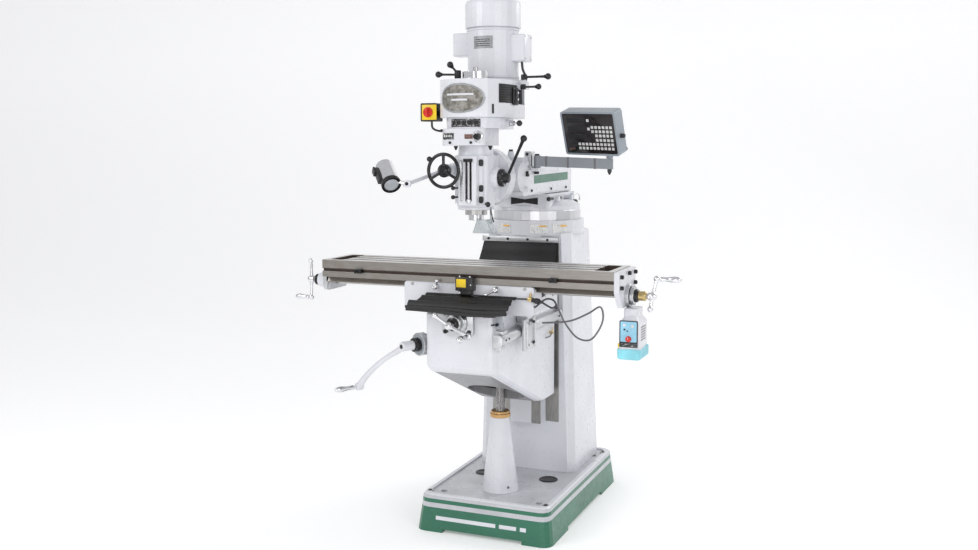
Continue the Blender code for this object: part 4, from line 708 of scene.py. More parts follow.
# ---------------------------------------------------------------- base, column and screw
def base_details():
    """Deck covers, corner screws, front bars, and the pedestal's screw and flare."""
    for name, x, y, radius in (("deck_cover_right", 0.150, 0.184, 0.040),
                               ("deck_cover_left", -0.149, 0.174, 0.036)):
        cover = turned((x, y, DECK_Z - 0.0004), UP,
                       [(0.0, radius), (0.0035, radius), (0.0045, radius - 0.002), (0.0045, radius - 0.008),
                        (0.0025, radius - 0.010)], 48)
        piece(name, "root", "rubber", cover)
    corners = [(x, y) for x in (-0.256, 0.256) for y in (-0.150, 0.648)]
    piece("levelling_washers", "root", "steel",
          *[turned((x, y, BASE_HIGH.z - 0.0075), UP, [(0.0, 0.0135), (0.0080, 0.0135), (0.0086, 0.0127)])
            for x, y in corners])
    piece("levelling_screws", "root", "blued",
          *[bolt((x, y, BASE_HIGH.z + 0.0008), UP, 0.0078, 0.0022, 24) for x, y in corners])
    draft = 0.014 / 0.120

    def skirt(z):
        return BASE_LOW.y + draft * z

    bars = []
    for left, right in ((-0.205, 0.060), (0.076, 0.150), (0.166, 0.192)):
        low, high = 0.052, 0.068
        bars.append(soften(prism("X",
                                 [(skirt(low) - 0.0006, low), (skirt(low) + 0.003, low),
                                  (skirt(high) + 0.003, high), (skirt(high) - 0.0006, high)], left, right),
                           0.0003))
    piece("front_bars", "root", "white", *bars)
    spot = outward(math.radians(-42))
    piece("pedestal_screw", "root", "blued",
          bolt(spot * 0.070 + Vector((0, 0, 0.172)), spot, 0.0048, 0.0055, 20))
    piece("pedestal_flare", "root", "white",
          sleeve((0, 0, DECK_Z), UP,
                 [(0.0, 0.0795), (0.002, 0.0790), (0.008, 0.0765), (0.022, 0.0738), (0.050, 0.0707),
                  (0.0501, 0.060), (0.0, 0.060)], 64))


def column_details():
    """Machined ways and flats, the flange's fillet and labels, the strip's screws."""
    low, high = 0.375, layout("way_cover_strip")[0].z
    face = WAYS_FRONT
    strips = []
    for side in (-1, 1):
        inner, outer = sorted((side * 0.050, side * 0.0925))
        strips.append(block((inner, face - 0.00025, low), (outer, face + 0.004, high), 0))
    piece("column_ways", "root", "ways", *strips)

    def front(z):
        share = (z - DECK_Z) / (COLUMN_HIGH.z + 0.010 - 0.064 - DECK_Z)
        return 0.305 - 0.015 * share

    flats = []
    for side in (-1, 1):
        inner, outer = sorted((side * 0.0945, side * 0.156))
        corners = [(front(low) - 0.0012, low), (front(high) - 0.0012, high), (front(high) + 0.004, high),
                   (front(low) + 0.004, low)]
        flats.append(prism("X", corners, inner, outer))
    piece("column_flats", "root", "ways", *flats)
    seam_low, seam_high = COLUMN_HIGH.z - 0.0665, COLUMN_HIGH.z - 0.0635
    piece("flange_fillet", "root", "white",
          sleeve((0, SWIVEL_Y, seam_low), UP,
                 [(0.0, 0.196), (seam_high - seam_low, 0.2105), (0.006, 0.2115), (0.0061, 0.195)], 96))
    labels, accents = [], []
    for first, last in ((-126.0, -103.0), (-78.5, -57.5), (-52.0, -31.5)):
        span = last - first
        labels.append(wrapped((0, SWIVEL_Y), 0.2098, (first, last), 1.208, 1.248,
                              0.0008))
        accents.append(wrapped((0, SWIVEL_Y), 0.2104, (first + span * 0.50, first + span * 0.92),
                               1.236, 1.243, 0.0006, 12))
    piece("flange_labels", "root", "label", *labels)
    piece("flange_label_bars", "root", "orange", *accents)
    strip_low, strip_high = layout("way_cover_strip")
    cap_screws("cover_strip_screws", "root", "blued",
               [(x, strip_low.y, (strip_low.z + strip_high.z) / 2) for x in (-0.147, -0.057, 0.034, 0.124)],
               FRONT, 0.0055, 0.006)


def threaded(centre, low, high, radius, depth, pitch, sides=28, samples=7):
    """Rolled thread: the radius follows a rounded triangle wave along a helix."""
    rings = []
    count = round((high - low) / pitch * samples)
    for i in range(count + 1):
        z = low + (high - low) * i / count
        points = []
        for k in range(sides):
            phase = (z / pitch - k / sides) % 1.0
            wave = abs(phase * 2 - 1)
            size = radius - depth * min(1.0, max(0.0, wave * 1.5 - 0.25))
            turn = 2 * math.pi * k / sides
            points.append(Vector((centre[0] + size * math.cos(turn), centre[1] + size * math.sin(turn), z)))
        rings.append(points)
    return skin(rings)


def screw_and_nut():
    """Threaded elevating screw with its gear, and the bronze nut on the pedestal."""
    low, high = layout("elevating_screw")
    radius = 0.0195
    body = threaded((0.0, 0.0), low.z, high.z - 0.024, radius, 0.0017, 0.00508)
    gear = turned((0, 0, high.z - 0.024), UP,
                  [(0.0, 0.024), (0.0, 0.030), (0.004, 0.041), (0.016, 0.035), (0.016, 0.014),
                   (0.024, 0.014)], 48)
    piece("elevating_screw_threaded", "elevating_screw", "steel", body, gear, stands_for="elevating_screw")
    nut_low, nut_high = layout("elevating_nut")
    seat = layout("screw_pedestal")[1].z
    height = nut_high.z - seat
    piece("bronze_nut", "root", "bronze",
          sleeve((0, 0, nut_low.z), UP,
                 [(0.0, 0.0202), (0.0, 0.0245), (seat - nut_low.z, 0.0245), (seat - nut_low.z, 0.0202)],
                 48),
          sleeve((0, 0, seat + 0.0003), UP,
                 [(0.0, 0.0202), (0.0, 0.040), (0.0015, 0.0430), (height * 0.55, 0.0430),
                  (height * 0.60, 0.0395), (height * 0.90, 0.0388), (height - 0.001, 0.0365),
                  (height - 0.001, 0.0250), (height - 0.004, 0.0215), (height - 0.004, 0.0202)], 64),
          stands_for="elevating_nut")


# ---------------------------------------------------------------- way covers
def rubber_sheet(name, rows, finish="rubber"):
    """Sheet through rows of points, thickened and subdivided."""
    work = bmesh.new()
    grid = [[work.verts.new(Vector(point) + ORIGIN) for point in row] for row in rows]
    for low, high in zip(grid, grid[1:]):
        for a, b, c, d in zip(low, low[1:], high[1:], high):
            work.faces.new((a, b, c, d))
    bmesh.ops.recalc_face_normals(work, faces=work.faces)
    mesh = bpy.data.meshes.new(name)
    work.to_mesh(mesh)
    work.free()
    mesh.materials.append(FINISH[finish])
    mesh.shade_smooth()
    thing = bpy.data.objects.new(name, mesh)
    bpy.context.collection.objects.link(thing)
    for kind, settings in (("SOLIDIFY", {"thickness": 0.0022, "offset": 0.0}),
                           ("SUBSURF", {"levels": 1, "render_levels": 1})):
        step = thing.modifiers.new(kind.lower(), kind)
        for key, value in settings.items():
            setattr(step, key, value)
    return thing


def rear_cover():
    """Rubber apron that hangs from the column's strip and curls forward over the knee."""
    strip_low, strip_high = layout("way_cover_strip")
    piece("cover_strip_bar", "root", "cast",
          block((-0.170, strip_low.y - 0.0022, strip_low.z + 0.001),
                (0.170, strip_low.y + 0.0005, strip_high.z - 0.001), 0.0008))
    path = [(strip_low.y + 0.003, strip_low.z + 0.002), (0.2285, 1.160), (0.2140, 1.135), (0.1930, 1.105),
            (0.1700, 1.065), (0.1500, 1.020), (0.1280, 0.980)]
    curve = smooth_path([(0.0, y, z) for y, z in path], 6)
    columns = 28
    rows = []
    for i, point in enumerate(curve):
        share = i / (len(curve) - 1)
        row = []
        for k in range(columns + 1):
            across = k / columns * 2 - 1
            half = 0.170 + 0.004 * share
            ripple = 0.0035 * share * math.sin(across * 5.2 + 0.7) + 0.006 * share * across * across
            row.append((half * across, point.y - ripple, point.z + 0.004 * share * math.cos(across * 3.0)))
        rows.append(row)
    cover = rubber_sheet("rear_apron", rows)
    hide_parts("rear_way_cover")
    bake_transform(cover)


def front_cover():
    """Pleated rubber bellows from the saddle down over the front of the knee."""
    path = [(SADDLE_LOW.y - 0.004, 1.017), (-0.362, 1.010), (-0.402, 1.001), (-0.436, 0.992), (-0.460, 0.981),
            (-0.470, 0.969), (-0.464, 0.960)]
    curve = smooth_path([(0.0, y, z) for y, z in path], 10)
    columns, folds, depth = 36, 4.0, 0.0060
    rows = []
    last = len(curve) - 1
    for i, point in enumerate(curve):
        share = i / last
        along = (curve[min(i + 1, last)] - curve[max(i - 1, 0)]).normalized()
        out = Vector((0.0, along.z, -along.y))
        wave = abs((share * folds) % 1.0 * 2 - 1) * 2 - 1
        fade = min(1.0, share * 6.0)
        widen = min(1.0, max(0.0, (share - 0.30) * 5.0))
        left, right = -0.172 - 0.030 * widen, 0.205 + 0.008 * widen
        row = []
        for k in range(columns + 1):
            across = k / columns
            lift = out * (-wave * depth * fade)
            sag = 0.003 * share * math.sin(across * 7.0 + share * 3.0) - 0.006 * share * (2 * across - 1) ** 2
            x = left + (right - left) * across
            row.append((x, point.y - lift.y + 0.006 * share * math.cos(across * 6.0), point.z - lift.z - sag))
        rows.append(row)
    cover = rubber_sheet("front_bellows", rows)
    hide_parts("front_way_cover")
    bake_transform(cover)


# ---------------------------------------------------------------- knee
def knee_details():
    """Cross screw's flange, dial and crank; knee crank with its boss and dial."""
    z = middle("y_leadscrew").z
    face = KNEE_LOW.y
    plate_low, plate_high = layout("y_screw_bearing")
    half_u, half_v = (plate_high.x - plate_low.x) / 2, (plate_high.z - plate_low.z) / 2
    plate = soften(prism("Y", rounded(half_u, half_v, 0.012, (0.0, z)), face - 0.017, face - 0.0003), 0.0015)
    collar = sleeve((0, face - 0.010, z), FRONT,
                    [(0.0, 0.0137), (0.0, 0.043), (0.022, 0.043), (0.025, 0.040), (0.027, 0.040),
                     (0.030, 0.037), (0.030, 0.0137)], 64)
    piece("cross_screw_flange", "knee", "dial", plate, collar, stands_for="y_screw_bearing")
    cap_screws("flange_screws", "knee", "blued",
               [(x, face - 0.0165, z + up) for x in (-0.048, 0.048) for up in (-0.035, 0.035)], FRONT,
               0.0085, 0.009)
    dial("cross_dial", "y_crank", (0, face - 0.0412, z), FRONT, 0.0287, 0.0165)
    piece("cross_dial_lock", "y_crank", "gloss",
          turned((0, face - 0.0575, z), FRONT,
                 [(0.0, 0.0255), (0.0035, 0.0255), (0.005, 0.022), (0.012, 0.0135), (0.020, 0.0125)], 40))
    hub = Vector((0, face - 0.093, z))
    tip, counter = hub + Vector((0.083, -0.010, -0.032)), hub + Vector((-0.054, -0.008, 0.036))
    ball_crank("cross_crank", "y_crank", hub, FRONT, tip, counter, stands_for="y_crank")
    piece("cross_crank_grip", "y_crank_grip", "chrome", grip_shape(tip + FRONT * 0.0173, FRONT, 0.078),
          stands_for="y_crank_grip")

    axis = Vector((-0.470, -0.883, 0.0)).normalized()
    across = Vector((axis.y, -axis.x, 0.0))
    level = middle("knee_crank_bearing").z

    def reach(along, side=0.0, up=0.0):
        return Vector((0, 0, level + up)) + axis * along + across * side

    piece("knee_boss", "knee", "white",
          turned(reach(0.300), axis, [(0.0, 0.0415), (0.088, 0.0385), (0.0895, 0.0375), (0.0895, 0.014)], 56))
    dial("knee_dial", "knee", reach(0.3895), axis, 0.0445, 0.0275, 60)
    piece("knee_dial_face", "knee", "grey",
          turned(reach(0.4165), axis, [(0.0, 0.0425), (0.0015, 0.0415), (0.0015, 0.0290), (0.0, 0.0285)], 56))
    piece("knee_clutch", "knee_crank", "gloss",
          turned(reach(0.4195), axis,
                 [(0.0, 0.0262), (0.001, 0.0272), (0.010, 0.0272), (0.0105, 0.0250), (0.0115, 0.0250),
                  (0.012, 0.0270), (0.0205, 0.0270), (0.0215, 0.0255)], 48))
    hub_at, bow, side, drop = 0.475, 0.070, 0.2303, -0.188
    path = []
    for i in range(13):
        share = i / 12
        sweep = bow * (3 * share ** 2 - 2 * share ** 3)
        path.append(reach(hub_at + sweep, side * share, drop * share + 0.022 * math.sin(math.pi * share)))
    tip = reach(hub_at + bow, side, drop)
    piece("knee_crank_arm", "knee_crank", "white",
          turned(reach(0.052), axis, [(0.0, 0.020), (0.016, 0.026), (0.016, 0.0125), (0.370, 0.0125)], 32),
          turned(reach(0.4415), axis,
                 [(0.0, 0.0150), (0.002, 0.0185), (0.048, 0.0195), (0.054, 0.0170), (0.0545, 0.009)], 44),
          pipe(path, lambda share: 0.0142 - 0.0040 * math.sin(math.pi * share), 24, 3),
          turned(tip - axis * 0.0155, axis,
                 [(0.0, 0.0135), (0.003, 0.0160), (0.026, 0.0160), (0.0295, 0.0125)], 40),
          rod(tip, tip + axis * 0.024, 0.006), stands_for="knee_crank")
    piece("knee_crank_screw", "knee_crank", "blued", bolt(reach(0.4955), axis, 0.0085, 0.003, 24))
    piece("knee_grip", "knee_crank_grip", "chrome", grip_shape(tip + axis * 0.0245, axis, 0.088),
          stands_for="knee_crank_grip")


def scale_details():
    """Cast cover of the cross scale, its end caps, and the reading head's bracket."""
    low, high = layout("y_scale")
    wall, top, bottom = low.x, high.z, low.z
    outline = [(wall, bottom), (0.172, bottom + 0.003), (0.180, bottom + 0.012), (0.183, bottom + 0.022),
               (0.181, top - 0.012), (0.173, top - 0.003), (wall, top)]
    bar = soften(prism("Y", outline, low.y + 0.004, high.y - 0.004), 0.0008, 2, 0.9)
    caps = [soften(prism("Y",
                         [(x + (0.002 if x > wall else 0.0), z + (0.002 if z > 0.86 else -0.002))
                          for x, z in outline], start, start + 0.014), 0.001, 2, 0.9)
            for start in (low.y - 0.004, high.y - 0.012)]
    piece("cross_scale_cover", "knee", "cast", bar, *caps, stands_for="y_scale")
    cap_screws("scale_cover_screws", "knee", "blued",
               [(0.181, y, (bottom + top) / 2) for y in (low.y + 0.040, low.y + 0.070, high.y - 0.040)],
               RIGHT, 0.0042, 0.004)
    piece("scale_end_lug", "knee", "cast",
          block((wall, low.y + 0.02, top - 0.002), (0.176, low.y + 0.075, top + 0.012), 0.002),
          block((wall, low.y + 0.015, bottom - 0.016), (0.171, low.y + 0.055, bottom + 0.002), 0.002))
    read_low, read_high = layout("y_scale_reader")
    plate = block((read_low.x + 0.036, read_low.y, read_low.z), read_high - Vector((0, 0, 0.030)), 0.003)
    arm = block((read_low.x, -0.200, 0.8955), (read_high.x, -0.150, KNEE_HIGH.z), 0.003)
    ribs = [block((read_high.x - 0.003, y - 0.005, read_low.z + 0.010),
                  (read_high.x + 0.006, y + 0.005, read_high.z - 0.045), 0.0015)
            for y in (read_low.y + 0.018, read_high.y - 0.018)]
    piece("scale_head_bracket", "saddle", "cast", plate, arm, *ribs, stands_for="y_scale_reader")
    cap_screws("scale_head_screws", "saddle", "blued",
               [(read_high.x, y, z) for y in (-0.205, -0.145) for z in (0.812, 0.895)], RIGHT, 0.005, 0.005)
    piece("front_stop_strip", "knee", "grey",
          block((0.150, KNEE_LOW.y - 0.006, 0.912), (0.176, KNEE_LOW.y + 0.004, 0.965), 0.0015),
          block((0.147, KNEE_LOW.y - 0.002, 0.905), (0.170, KNEE_LOW.y + 0.030, 0.925), 0.0015))
    piece("front_stop_screw", "knee", "blued",
          bolt((0.158, KNEE_LOW.y - 0.006, 0.922), FRONT, 0.006, 0.010, 24),
          rod((0.150, KNEE_LOW.y - 0.010, 0.922), (0.136, KNEE_LOW.y - 0.016, 0.920), 0.0028))
    piece("knee_oiler", "knee", "brass",
          turned((KNEE_HIGH.x - 0.001, 0.205, 0.790), RIGHT,
                 [(0.0, 0.0075), (0.004, 0.0075), (0.004, 0.0050), (0.016, 0.0048), (0.018, 0.003)], 24),
          rod((KNEE_HIGH.x + 0.010, 0.205, 0.790), (KNEE_HIGH.x + 0.010, 0.205, 0.815), 0.003))
    piece("oil_line", "knee", "grey_cable",
          pipe([(KNEE_HIGH.x + 0.010, 0.200, 0.790), (KNEE_HIGH.x + 0.014, 0.165, 0.782),
                (KNEE_HIGH.x + 0.004, 0.140, 0.778)], 0.0028))


# ---------------------------------------------------------------- saddle and table
def saddle_details():
    """Table locks, limit switch, cables and fittings, wipers."""
    front = SADDLE_LOW.y
    for side, x, z, tip in (("left", -0.129, 1.043, (-0.118, -0.357, 1.066)),
                            ("right", 0.123, 1.042, (0.090, -0.366, 1.024))):
        hub = (x, front - 0.0003, z)
        shapes = [turned(hub, FRONT,
                         [(0.0, 0.0062), (0.0, 0.0100), (0.004, 0.0115), (0.020, 0.0110), (0.0245, 0.0085),
                          (0.0255, 0.0060), (0.0215, 0.0050)], 32)]
        start, end = Vector((x, front - 0.014, z)), Vector(tip)
        shapes.append(turned(start, end - start, [(0.0, 0.0046), ((end - start).length, 0.0038)], 20))
        shapes.append(ball(end, 0.0078))
        piece("lock_lever_" + side, "table_lock_" + side, "chrome", *shapes, stands_for="table_lock_" + side)
    low, high = layout("limit_switch")
    piece("switch_body", "saddle", "black",
          block((low.x, low.y + 0.004, 1.034), (high.x, high.y, high.z), 0.002),
          block((-0.026, -0.362, 1.0182), (0.026, front - 0.0003, 1.036), 0.0015),
          block((low.x + 0.002, low.y + 0.001, 1.040), (0.012, low.y + 0.006, high.z - 0.003), 0.001),
          stands_for="limit_switch")
    piece("switch_face", "saddle", "yellow",
          block((-0.030, low.y - 0.0005, 1.048), (0.010, low.y + 0.004, 1.080), 0.0015))
    piece("switch_plungers", "saddle", "chrome",
          *[rod((x, low.y + 0.012, high.z - 0.001), (x, low.y + 0.012, high.z + 0.005), 0.0035)
            for x in (-0.020, 0.022)], bolt((-0.020, -0.362, 1.026), FRONT, 0.0045, 0.003, 24),
          bolt((0.029, low.y + 0.004, 1.058), FRONT, 0.003, 0.002, 20))
    piece("switch_cable", "saddle", "cable",
          pipe([(0.010, -0.357, 1.026), (0.036, -0.350, 1.014), (0.080, -0.344, 1.010),
                (0.133, -0.343, 1.0105), (0.214, -0.342, 1.012), (0.252, -0.341, 1.012)], 0.0032))
    piece("cable_fitting", "saddle", "brass",
          turned((0.248, -0.341, 1.012), RIGHT,
                 [(0.0, 0.004), (0.002, 0.0065), (0.012, 0.0065), (0.012, 0.005), (0.018, 0.005)], 20),
          turned((0.258, -0.341, 1.022), (0.2, 0, 1), [(0.0, 0.004), (0.014, 0.004)], 16),
          block((0.250, -0.345, 1.004), (0.264, front, 1.020), 0.001))
    piece("cable_gland", "saddle", "black",
          turned((0.266, -0.341, 1.010), (1, 0, -0.15),
                 [(0.0, 0.0085), (0.014, 0.0085), (0.014, 0.011), (0.028, 0.011), (0.034, 0.006),
                  (0.044, 0.005)], 24))
    piece("gland_cable", "saddle", "cable",
          pipe([(0.305, -0.345, 1.006), (0.326, -0.352, 0.996), (0.350, -0.353, 0.987),
                (0.365, -0.353, 0.999), (0.352, -0.353, 1.017), (0.325, -0.352, 1.018),
                (0.300, -0.350, 1.000), (0.278, -0.335, 0.984), (0.262, -0.300, 0.978)], 0.0036))
    piece("scale_cable", "saddle", "grey_cable",
          pipe([(0.268, -0.120, 1.000), (0.262, -0.070, 0.985), (0.252, 0.000, 0.935),
                (0.262, 0.060, 0.862), (0.300, 0.100, 0.797), (0.349, 0.120, 0.785), (0.386, 0.120, 0.825),
                (0.408, 0.115, 0.880), (0.398, 0.105, 0.928), (0.360, 0.060, 0.905), (0.300, 0.000, 0.880),
                (0.215, -0.080, 0.880)], 0.0038))
    piece("lift_hook", "saddle", "chrome",
          pipe([(-0.214, front - 0.004, 0.975), (-0.214, front - 0.008, 0.962),
                (-0.214, front - 0.006, 0.950), (-0.222, front - 0.006, 0.942),
                (-0.231, front - 0.006, 0.948)], 0.0024),
          turned((-0.214, front + 0.001, 0.975), FRONT, [(0.0, 0.005), (0.004, 0.005)], 16))
    gib = [(x, front, 1.048) for x in (-0.235, 0.235)]
    cap_screws("gib_screws", "saddle", "steel", gib, FRONT, 0.006, 0.003)
    wiper = (SADDLE_HIGH.z - 0.012, SADDLE_HIGH.z - 0.001)
    piece("way_wipers", "saddle", "rubber",
          *[block((x - 0.002, SADDLE_LOW.y + 0.012, wiper[0]), (x + 0.002, SADDLE_HIGH.y - 0.012, wiper[1]),
                  0.0006) for x in (SADDLE_LOW.x - 0.0015, SADDLE_HIGH.x + 0.0015)])


def table_details():
    """Stop dogs, and both ends of the table's screw with dials and cranks."""
    front, right, left = TABLE_LOW.y, TABLE_HIGH.x, TABLE_LOW.x
    table_y, screw_z = middle("x_leadscrew").y, middle("x_leadscrew").z
    for side in ("left", "right"):
        low, high = layout("stop_dog_" + side)
        x = (low.x + high.x) / 2
        piece("table_stop_" + side, "table", "blued",
              block((low.x, front - 0.014, 1.079), (high.x, front - 0.0003, 1.096), 0.0018),
              block((low.x + 0.002, front - 0.002, 1.0828), (high.x - 0.002, front + 0.0080, 1.0922),
                    0.0006), bolt((x - 0.004, front - 0.0138, 1.0875), FRONT, 0.0078, 0.0095, 24),
              bolt((x + 0.010, front - 0.0138, 1.0875), FRONT, 0.0040, 0.0040, 20),
              stands_for="stop_dog_" + side)
    face = right + 0.0203
    places = [(face, y, z)
              for y, z in ((front + 0.018, 1.108), (front + 0.018, 1.068), (table_y + 0.010, 1.112),
                           (front + 0.2106, 1.108), (front + 0.2106, 1.068))]
    cap_screws("right_bracket_screws", "table", "blued", places, RIGHT, 0.0078, 0.0112)
    dial("right_dial", "x_screw", (right + 0.0359, table_y, screw_z), RIGHT, 0.0346, 0.0145, 60)
    piece("right_barrel_ring", "table", "dial",
          sleeve((right + 0.0205, table_y, screw_z), RIGHT,
                 [(0.0, 0.0436), (0.0125, 0.0436), (0.0140, 0.0415), (0.0140, 0.0176), (0.0, 0.0176)], 64))
    piece("right_dial_lock", "x_screw", "gloss",
          turned((right + 0.0503, table_y, screw_z), RIGHT,
                 [(0.0, 0.0250), (0.009, 0.0250), (0.011, 0.0225), (0.014, 0.0200)], 32))
    piece("right_dial_nut", "x_screw", "brass",
          turned((right + 0.0643, table_y, screw_z), RIGHT,
                 [(0.0, 0.0178), (0.010, 0.0178), (0.012, 0.0182), (0.024, 0.0182), (0.028, 0.0150)], 32))
    hub = Vector((right + 0.114, table_y, screw_z))
    tip = hub + Vector((0.010, 0.028, 0.062))
    ball_crank("right_crank", "x_screw", hub, RIGHT, tip, hub + Vector((-0.002, -0.020, -0.045)),
               stands_for="x_crank_right")
    piece("right_crank_grip", "x_screw", "chrome", grip_shape(tip + Vector((0.012, 0, 0)), RIGHT, 0.080))
    hub = Vector((left - 0.123, table_y, screw_z))
    tip = hub + Vector((-0.004, 0.0, -0.077))
    ball_crank("left_crank", "x_screw", hub, LEFT, tip, hub + Vector((-0.002, 0.0, 0.076)),
               stands_for="x_crank_left")
    piece("left_crank_grip", "x_screw", "chrome", grip_shape(tip - Vector((0.012, 0, 0)), LEFT, 0.064))
    piece("left_collar", "x_screw", "blued",
          turned((left - 0.0818, table_y, screw_z), LEFT,
                 [(0.0, 0.0215), (0.002, 0.0227), (0.014, 0.0227), (0.0165, 0.0195), (0.0165, 0.013),
                  (0.028, 0.0125)], 40))
    piece("left_barrel_flange", "table", "white",
          turned((left - 0.0170, table_y, screw_z), LEFT,
                 [(0.0, 0.0372), (0.012, 0.0368), (0.030, 0.0312), (0.060, 0.0290), (0.0635, 0.0275),
                  (0.0635, 0.014)], 56))
    web = [(left - 0.019, 1.036), (left + 0.004, 1.036), (left + 0.000, 1.003), (left - 0.010, 1.003)]
    piece("left_screw_hanger", "table", "cast", soften(prism("Y", web, front + 0.030, front + 0.060), 0.002))
    # painted shadow: dark strip along the stop groove's upper lip
    piece("groove_lip_shadow", "table", "groove",
          block((left + 0.002, front - 0.0004, 1.0935), (right - 0.002, front + 0.001, 1.0950), 0))


def power_feed_details():
    """Panel, knob, vents and rubber boot of the table's power feed."""
    front = FEED_LOW.y + 0.004
    left, right = FEED_LOW.x + 0.006, FEED_HIGH.x - 0.006
    mid, feed_y = (left + right) / 2, middle("power_feed").y
    low, high = 0.8465, 0.9460
    piece("feed_panel_frame", "table", "black",
          soften(prism("Y", rounded(0.0345, (high - low) / 2, 0.004, (mid, (low + high) / 2)),
                       front - 0.0015, front + 0.001), 0.0005))
    piece("feed_panel_face", "table", "blue",
          soften(prism("Y", rounded(0.0305, 0.0375, 0.003, (mid, 0.9045)), front - 0.0022, front), 0.0003))
    piece("feed_panel_plate", "table", "plate",
          block((mid - 0.0305, front - 0.0021, low + 0.003), (mid + 0.0305, front, low + 0.015), 0.0003))
    piece("feed_toggles", "table", "button",
          block((mid - 0.020, front - 0.006, 0.925), (mid - 0.010, front, 0.934), 0.0012),
          block((mid + 0.010, front - 0.004, 0.920), (mid + 0.020, front, 0.932), 0.0012))
    piece("feed_toggle_bats", "table", "black",
          rod((mid - 0.004, front, 0.906), (mid - 0.004, front - 0.010, 0.909), 0.0022),
          rod((mid - 0.015, front - 0.002, 0.913), (mid - 0.015, front - 0.0045, 0.913), 0.0035))
    knob_low, knob_high = layout("feed_knob")
    at = ((knob_low.x + knob_high.x) / 2, knob_high.y, (knob_low.z + knob_high.z) / 2)
    piece("feed_speed_knob", "feed_knob", "red",
          turned(at, FRONT,
                 [(0.0, 0.0112), (0.003, 0.0112), (0.0035, 0.0098), (0.0105, 0.0094), (0.0125, 0.0080),
                  (0.013, 0.004)], 40), stands_for="feed_knob")
    piece("feed_knob_mark", "feed_knob", "button",
          block((at[0] - 0.0007, at[1] - 0.0134, at[2]), (at[0] + 0.0007, at[1] - 0.0115, at[2] + 0.008),
                0.0002))
    # painted shade: dark strips stand for the shade inside the vent slots
    slots = [block((FEED_HIGH.x - 0.0068, feed_y - 0.034, z),
                   (FEED_HIGH.x - 0.0055, feed_y + 0.034, z + 0.0035), 0.0004)
             for z in [0.868 + 0.0095 * i for i in range(6)]]
    piece("feed_vents", "table", "dark", *slots)
    piece("feed_tag", "table", "yellow",
          block((left - 0.0052, front + 0.010, 0.842), (left + 0.006, front + 0.016, 0.858), 0.0012))
    rings = [soften(prism("Z",
                          rounded((right - left) / 2 + 0.0066, 0.0706, 0.012,
                                  (mid, feed_y)), z, z + 0.003), 0.0009)
             for z in (0.8145, 0.8235, 0.8325)]
    piece("boot_ribs", "table", "cyan", *rings)
    piece("feed_gear_neck", "table", "white",
          soften(prism("Z", rounded(0.0262, 0.0425, 0.010, (mid, feed_y)), 0.955, 0.9868),
                 0.002))
    cap_screws("feed_case_screws", "table", "blued",
               [(mid + sx * 0.018, front + 0.030, 0.9620) for sx in (-1, 1)], (0, -0.6, 0.6), 0.0032, 0.003)


# ---------------------------------------------------------------- turret and ram
def turret_details():
    """Turret's recesses, lock bar and hook rod; the ram's stripe and bolts."""
    face = 0.262
    # painted shade: thin dark wedges stand for the shade inside the turret's recesses
    for i, (left, right) in enumerate(((-0.054, 0.010), (0.008, 0.070))):
        tall, short = 0.0155, 0.0075
        outer, inner = (left, right) if i == 0 else (right, left)
        outline = [(outer, 1.3465 - tall), (inner, 1.3465 - short), (inner, 1.3465 + short),
                   (outer, 1.3465 + tall)]
        work = soften(skin([[Vector((x, y, z)) for x, z in outline]
                            for y in (face - 0.0022, face + 0.001)]), 0.0015)
        piece("turret_recess_" + str(i + 1), "turret", "dark", work)
    piece("turret_lock_bar", "turret", "gloss", rod((0.1255, 0.243, 1.357), (0.1255, 0.401, 1.357), 0.0062),
          ball((0.1255, 0.243, 1.357), 0.0092), bolt((0.118, 0.262, 1.357), RIGHT, 0.010, 0.007, 6))
    piece("turret_rear_knob", "turret", "gloss",
          turned((0.1185, 0.570, 1.328), RIGHT,
                 [(0.0, 0.008), (0.010, 0.008), (0.011, 0.014), (0.024, 0.015), (0.029, 0.011)], 32))
    piece("turret_hook_rod", "turret", "chrome",
          pipe([(0.1185, 0.560, 1.366), (0.132, 0.566, 1.366), (0.134, 0.600, 1.366), (0.134, 0.632, 1.364),
                (0.134, 0.644, 1.352), (0.134, 0.646, 1.334)], 0.004))
    work = skin([[Vector((x, y, z))
                  for y, z in ((0.090, 1.427), (0.527, 1.433), (0.527, 1.467), (0.090, 1.461))]
                 for x in (0.1140, 0.1156)])
    piece("ram_stripe", "ram", "green", work)
    screws = [(0.116, y, z) for y, z in ((0.06, 1.400), (0.30, 1.400), (0.50, 1.400))]
    cap_screws("ram_gib_screws", "ram", "blued", screws, RIGHT, 0.0055, 0.004)
    places = [(0.089, -0.026, 1.474), (0.081, -0.026, 1.415), (0.093, -0.026, 1.522)]
    cap_screws("ram_nose_bolts", "ram", "blued", places, (0.10, -1, 0), 0.0100, 0.011)
    cap_screws("ram_side_bolt", "ram", "blued", [(0.1165, -0.006, 1.470)], RIGHT, 0.0110, 0.012)
    piece("ram_lug", "ram", "white",
          turned((0.050, -0.004, 1.520), UP, [(0.0, 0.019), (0.030, 0.013), (0.040, 0.012)], 24))
    cap_screws("ram_lug_bolt", "ram", "blued", [(0.050, -0.004, 1.559)], UP, 0.0085, 0.009)


